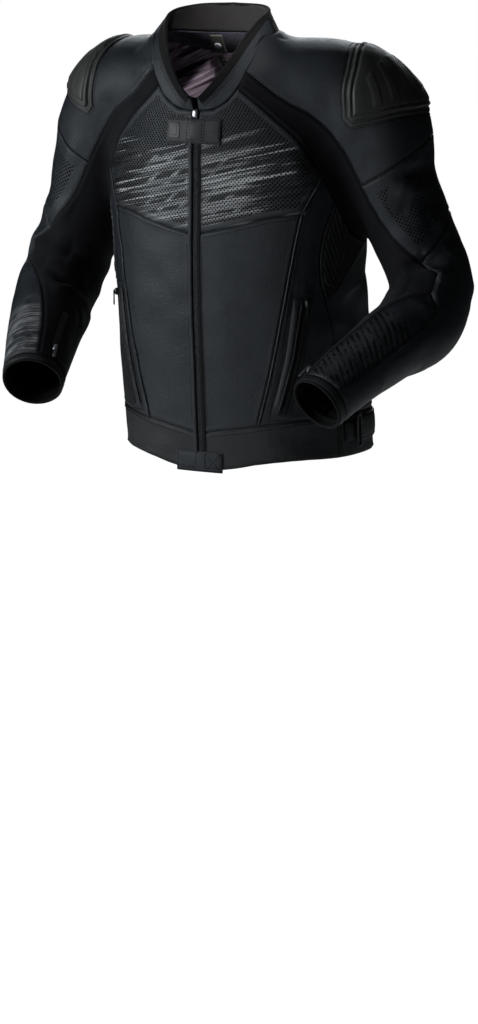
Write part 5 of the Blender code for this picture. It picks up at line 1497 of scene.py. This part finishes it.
# ---------------------------------------------------------------- collar: bound edge and stitches
RIM = (  # by angle from the front: across, y, height
    (0, 0.004, -0.1375, 0.500), (17, 0.021, -0.132, 0.516), (28, 0.036, -0.123, 0.535),
    (40, 0.050, -0.109, 0.557), (55, 0.064, -0.088, 0.585), (72, 0.074, -0.064, 0.606),
    (95, 0.077, -0.040, 0.617), (130, 0.057, -0.008, 0.625), (180, 0.000, 0.004, 0.628),
)


def rim_line(angles):
    """Upper edge of the collar, by angle over both sides."""
    rows = np.array(RIM)
    away = np.abs(angles)
    x, y, z = spline(rows[:, 0], rows[:, 1:], away).T
    p = np.stack([torso_row(z)[4] + np.sign(angles) * x, y, z], axis=1)
    middle = np.array([-0.012, -0.055, 0.0])
    out = unit((p - middle) * np.array([1, 1, 0.0]))
    return p, out


angles = np.concatenate([np.arange(3, 180, 3), np.arange(-180, -2, 3)]).astype(float)
rim_at, rim_out = steps(*rim_line(angles), 0.004)
_, side = frames(rim_at, rim_out)
up = np.where(side[:, 2:] > 0, side, -side)
sweep("collar_binding", rim_at - rim_out * 0.0019 - up * 0.0006, rim_out,
      [(0.0023 * math.cos(t), 0.0026 * math.sin(t)) for t in np.linspace(0, 2 * math.pi, 10, endpoint=False)],
      "soft", "soft")
near_front = np.clip((0.600 - rim_at[:, 2]) / 0.06, 0, 1)          # the soft border is widest at the front
wide = 0.0045 + 0.0050 * near_front
strip = np.stack([skin.lay(rim_at - up * (wide * share)[:, None], rim_out, 0.010)
                  for share in np.linspace(0.03, 1, 7)], axis=1)
high = np.array([0.0007, 0.0009, 0.0009, 0.0009, 0.0009, 0.0008, 0.0004])
outer = strip + rim_out[:, None] * high[None, :, None]
inner = strip - rim_out[:, None] * 0.0003
ring = np.concatenate([outer, inner[:, ::-1]], axis=1)
index = np.arange(ring.shape[0] * ring.shape[1]).reshape(ring.shape[:2])
quads = ring_quads(index[:-1], index[1:])
border = mesh_object("collar_border", ring.reshape(-1, 3), quads, [MATERIAL["soft"]], sharp=60)
finish(right_way_out(border), "soft")
for drop in (0.0022, 0.0048):
    sew(skin, rim_at - up * (wide + drop)[:, None], rim_out, reach=0.008)

# ---------------------------------------------------------------- hard fittings
for hand in ("left", "right"):
    round_off(f"adjuster_ring_{hand}", "dark_metal", "dark_metal", 0.0008)
    for end, look in (("pocket", "dark_metal"), ("cuff", "metal")):
        round_off(f"{end}_slider_{hand}", look, "dark_metal", 0.0005)
        round_off(f"{end}_pull_{hand}", look, "metal", 0.0004, body=f"{end}_pull_{hand}")
round_off("main_zip_slider", "metal", "metal", 0.0007)


def snap():
    """A turned dome in place of the snap's block."""
    low, high = (np.array(v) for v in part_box("neck_tab_snap"))
    centre = (low + high) / 2 + HOLD
    _, n = on_form(1, "body", ((0.571, -152), (0.570, -152)), 2)
    axis = -n[0]
    first = unit(np.cross(axis, np.array([1.0, 0.0, 0.0])))
    second = np.cross(axis, first)
    dome = ((0.0, 0.0013), (0.0018, 0.0013), (0.0022, 0.0009), (0.0026, 0.0012), (0.0040, 0.0011),
            (0.0050, 0.0005), (0.0054, -0.0003), (0.0052, -0.0012))          # radius, height
    turn = np.linspace(0, 2 * np.pi, 32, endpoint=False)
    rings = np.array([[centre + (first * math.cos(t) + second * math.sin(t)) * r + axis * h for t in turn]
                      for r, h in dome])
    index = np.arange(len(dome) * 32).reshape(-1, 32)
    quads = ring_quads(index[:-1], index[1:])
    piece = mesh_object("neck_snap", rings.reshape(-1, 3), quads, [MATERIAL["snap"]])
    finish(piece, "dark_metal", "neck_tab_snap")


def neck_seam():
    """Taped seam between the neck's mesh and its lining, along the lining's top edge."""
    points, _ = read("neck_lining")
    row = torso_row(np.array([0.57]))[:, 0]
    centre_x, centre_y = row[4], row[3]
    turn = np.degrees(np.arctan2(points[:, 0] - centre_x, -(points[:, 1] - centre_y))) % 360
    tops = []
    for a in np.arange(60, 301, 12):
        near = points[np.abs(turn - a) < 14]
        if len(near):
            tops.append(near[near[:, 2].argmax()])
    tops = through(np.array(tops), 90)
    away = unit((np.array([centre_x, centre_y, 0.0]) - tops) * np.array([1, 1, 0.0]))
    sweep("neck_seam", smoothed(tops, 8) + away * 0.0038, away, circle(0.0018), "edge_tape", "tape")


snap()
neck_seam()

# ---------------------------------------------------------------- shoulder cups
CUP = (  # angle round the sleeve, run of the neck-side edge and of the sleeve-side edge
    (99, 0.180, 0.196), (80, 0.158, 0.207), (55, 0.146, 0.214), (25, 0.139, 0.220), (-10, 0.140, 0.222),
    (-40, 0.150, 0.214), (-62, 0.166, 0.200),
)


BARS = (-22, -2, 18, 38, 58)       # angles of the plain slanting bars


def cup_height(d, along, turned):
    """Height of the cup by distance to its edge: flange, step, dome, border groove and raised bars."""

    def rise(a, b):
        x = np.clip((d - a) / (b - a), 0, 1)
        return x * x * (3 - 2 * x)

    def groove(middle, half, deep):
        return deep * np.exp(-(((d - middle) / half) ** 2))

    high = 0.0013 + 0.0011 * rise(0.0, 0.0014) + 0.0042 * rise(0.0072, 0.0088) + 0.0012 * rise(0.0090, 0.026)
    high -= groove(0.0042, 0.0007, 0.0005)                 # the stitches' bed
    high -= groove(0.0132, 0.0011, 0.0015)
    high += 0.0010 * rise(0.0148, 0.0158)
    inside = rise(0.0190, 0.0205)
    for middle in BARS:
        off = np.abs(turned - middle - 34 * (along - 0.55))
        bar = np.clip((5.2 - off) / 1.6, 0, 1) * np.clip((0.24 - np.abs(along - 0.56)) / 0.03, 0, 1)
        high += 0.0009 * bar * inside
    return high


def cup_stitches(edge, m, middle, ground):
    """Stitches in the flange's bed, and a row on the leather round the cup."""
    towards = unit(middle - edge)
    flat = unit(towards - m * (towards * m).sum(1, keepdims=True))
    _, side = frames(edge, m, closed=True)
    side = side * np.sign((side * flat).sum())
    line = smoothed(edge + side * 0.0042) + m * 0.0020
    points, normals = steps(line, m, 0.0017, closed=True)
    a, b = points[0::2][: len(points) // 2], points[1::2][: len(points) // 2]
    STITCHES["thread"].append((a, a + (b - a) * 1.35, normals[0::2][: len(a)]))
    outer, m = on_cloth(settle(smoothed(ground - side * 0.0035)))
    sew(skin, outer, m, closed=True)


def cup(hand):
    """Moulded cup on the shoulder: a shell closed by its own rim."""
    s = SIDES[1 if hand == "left" else -1]
    rows, columns = ((66, 124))
    outline = np.array(CUP, float)[::-1]
    angles = np.linspace(outline[0, 0], outline[-1, 0], columns)
    ends = spline(outline[:, 0], outline[:, 1:3], angles)
    t = np.linspace(0, 1, rows)[:, None]
    run = (ends[:, 0] + (ends[:, 1] - ends[:, 0]) * t) * s.scale
    way = np.tile(angles, (rows, 1))
    start, ray = s.sleeve.ray(run.reshape(-1), way.reshape(-1))
    p = settle(cast(start, ray, far=0.15, field=s.sleeve.field))
    n = unit(slope(p))
    base = p + n * fold_height(p)[:, None]
    index = np.arange(rows * columns).reshape(rows, columns)
    border = np.concatenate([index[0, :-1], index[:-1, -1], index[-1, :0:-1], index[:0:-1, 0]])
    d = edge_distance(p, [border], p)
    high = cup_height(d, (t * np.ones(columns)).reshape(-1), way.reshape(-1))
    top = base + n * high[:, None]
    low = base + n * 0.0010
    under = index + rows * columns
    loop = np.append(border, border[0])
    rim = np.stack([loop[:-1], loop[1:], loop[1:] + rows * columns, loop[:-1] + rows * columns], -1)
    quads = [grid_quads(index), grid_quads(under)[:, [0, 3, 2, 1]], rim]
    piece = mesh_object(f"shoulder_cup_{hand}_shell", np.concatenate([top, low]), np.concatenate(quads),
                        [MATERIAL["cup"]], sharp=60)
    finish(right_way_out(piece), "cup", f"shoulder_cup_{hand}")
    cup_stitches(base[border], n[border], base.mean(0), p[border])


for hand in ("left", "right"):
    cup(hand)


# ---------------------------------------------------------------- pockets, adjusters and cuffs
def pocket(hand, sign):
    """Stitches round the pocket, its zip's teeth and the rolled lip in front of them."""
    outline = ((0.240, 51.2), (0.240, 61.6), (0.150, 55.6), (0.061, 46.6), (0.061, 36.9), (0.150, 45.6),
               (0.240, 51.2))
    sew(skin, *on_form(sign, "body", outline, 150), pitch=0.0040)
    p, n = steps(*on_form(sign, "body", ((0.2150, 57.9), (0.150, 52.75), (0.070, 44.2)), 80), 0.0019)
    teeth(f"pocket_teeth_{hand}", skin.lay(p, n), n, 0.0008, -0.0003)
    p, n = on_form(sign, "body", ((0.228, 56.3), (0.150, 50.4), (0.072, 41.8)), 40)
    p = skin.lay(p, n)
    sweep(f"pocket_lip_{hand}", p + n * 0.0004, n, circle(0.0013), "leather", "leather",
          scale=faded(len(p), 0.4))


def adjuster(sign):
    """Stitches of the waist strap and of its tab."""
    rows = [((0.0535, 88.0), (0.0535, 125.0), 60), ((0.0225, 88.0), (0.0225, 125.0), 60),
            ((0.0535, 124.6), (0.0225, 124.6), 20), ((0.050, 76.3), (0.026, 76.3), 20),
            ((0.050, 81.5), (0.026, 81.5), 20)]
    for start, end, count in rows:
        sew(skin, *on_form(sign, "body", (start, end), count), reach=0.010)


def cuff(hand, sign):
    """Rolled end of the sleeve, the band's stitches, and the short zip above its slider."""
    sleeve = SIDES[sign].sleeve
    top, end = sorted(PANEL_LOOPS[f"cuff_band_{hand}"], key=lambda loop: sleeve.locate(loop[0]).mean())
    p, n = steps(*end, 0.004, closed=True)
    roll_at = p + n * (lift_of(p)[:, None] - 0.0011)
    sweep(f"cuff_roll_{hand}", roll_at, n, circle(0.0019, 10), "soft", "leather", closed=True)
    p, n = steps(*top, 0.004, closed=True)
    _, side = frames(p, n, closed=True)
    inner = side * np.sign((side * (sleeve.mid[-1] - p)).sum())
    row_at = settle(p + inner * 0.0035, steps=2)
    sew(skin, row_at + n * lift_of(row_at)[:, None], n, closed=True)
    scale = SIDES[sign].scale
    p, n = steps(*on_form(sign, "arm", ((0.620 * scale, 150), (0.688 * scale, 148)), 50), 0.0019)
    p = skin.lay(p, n)
    flat = [(-0.0046, 0.0), (-0.0040, 0.0007), (0.0040, 0.0007), (0.0046, 0.0), (0.0040, -0.0006),
            (-0.0040, -0.0006)]
    sweep(f"cuff_zip_tape_{hand}", p[::2], n[::2], flat, "tape", "tape")
    teeth(f"cuff_teeth_{hand}", p, n, 0.0008, 0.0005)


for hand, sign in (("left", 1), ("right", -1)):
    pocket(hand, sign)
    adjuster(sign)
    cuff(hand, sign)

build_stitches()


# ---------------------------------------------------------------- floor, light and camera
def pale(name):
    """Matt white that the camera sees evenly lit."""
    s = Shader(name, (0.80, 0.80, 0.80), 0.95)
    s.out.inputs["Emission Color"].default_value = (1, 1, 1, 1)
    s.plug(s.out.inputs["Emission Strength"], s.node("ShaderNodeLightPath").outputs["Is Camera Ray"])
    return s.material


FLOOR = -1.36              # height of the floor, far under the jacket
floor_mesh = bpy.data.meshes.new("floor")
corners = [(x, y, FLOOR) for x, y in ((-30, -30), (30, -30), (30, 30), (-30, 30))]
floor_mesh.from_pydata(corners, [], [(0, 1, 2, 3)])
floor_mesh.materials.append(pale("pale_floor"))
floor = bpy.data.objects.new("floor", floor_mesh)
bpy.context.collection.objects.link(floor)

world = bpy.data.worlds.new("studio")
bpy.context.scene.world = world
world.use_nodes = True
nodes, links = world.node_tree.nodes, world.node_tree.links
seen, level = nodes.new("ShaderNodeLightPath"), nodes.new("ShaderNodeMapRange")
level.inputs["To Min"].default_value, level.inputs["To Max"].default_value = 0.008, 1.0
links.new(seen.outputs["Is Camera Ray"], level.inputs["Value"])
links.new(level.outputs["Result"], nodes["Background"].inputs["Strength"])
nodes["Background"].inputs["Color"].default_value = (1, 1, 1, 1)


def softbox(name, place, target, size, power):
    """A large lamp, slightly blue, aimed at a point."""
    light = bpy.data.lights.new(name, "AREA")
    light.shape, light.size, light.size_y, light.energy = "RECTANGLE", size[0], size[1], power
    light.color = (0.90, 0.965, 1.0)
    made = bpy.data.objects.new(name, light)
    made.location = place
    made.rotation_euler = (Vector(target) - Vector(place)).to_track_quat("-Z", "Y").to_euler()
    bpy.context.collection.objects.link(made)


softbox("key", (-2.25, -2.35, 0.45), (0, 0, -0.15), (1.9, 2.3), 73)
softbox("top", (-0.5, -0.4, 2.4), (0, 0, 0), (1.6, 1.3), 3)
softbox("back", (-1.3, 2.9, 1.3), (0, 0, -0.1), (2.2, 2.0), 42)
softbox("fill", (2.6, -1.2, 0.6), (0, 0, -0.2), (1.2, 1.8), 0.7)
spot = bpy.data.lights.new("neck_spot", "SPOT")
spot.energy, spot.spot_size, spot.spot_blend, spot.shadow_soft_size = 240, math.radians(5.4), 0.6, 0.06
lamp = bpy.data.objects.new("neck_spot", spot)
lamp.location = (0.62, -1.18, 1.56)
lamp.rotation_euler = (Vector((-0.015, 0.035, 0.015)) - lamp.location).to_track_quat("-Z", "Y").to_euler()
bpy.context.collection.objects.link(lamp)

# The photograph's place: 28 degrees to the wearer's left of the front, 6 degrees above
AZIMUTH, ELEVATION, DISTANCE, PIXEL = math.radians(28.0), math.radians(6.0), 4.4, 0.00141
target = np.array([0.0, 0.0, 0.30]) - HOLD
way = np.array([math.sin(AZIMUTH) * math.cos(ELEVATION), -math.cos(AZIMUTH) * math.cos(ELEVATION),
                math.sin(ELEVATION)])
FILM = 36.0                                    # height of the camera's sensor, mm
PHOTO_WIDE, PHOTO_TALL = 478, 1024             # pixels
TARGET_ACROSS, TARGET_DOWN = 241.5, 236.7      # pixel where the photograph shows the target
data = bpy.data.cameras.new("camera")
data.sensor_fit, data.sensor_width, data.sensor_height = "VERTICAL", FILM, FILM
data.lens = FILM * DISTANCE / (PHOTO_TALL * PIXEL)
data.shift_x = (PHOTO_WIDE / 2 - TARGET_ACROSS) / PHOTO_TALL
data.shift_y = (TARGET_DOWN - PHOTO_TALL / 2) / PHOTO_TALL
camera = bpy.data.objects.new("camera", data)
camera.location = target + way * DISTANCE
camera.rotation_euler = Vector(-way).to_track_quat("-Z", "Y").to_euler()
bpy.context.collection.objects.link(camera)
bpy.context.scene.camera = camera
bpy.context.scene.view_settings.view_transform = "Standard"
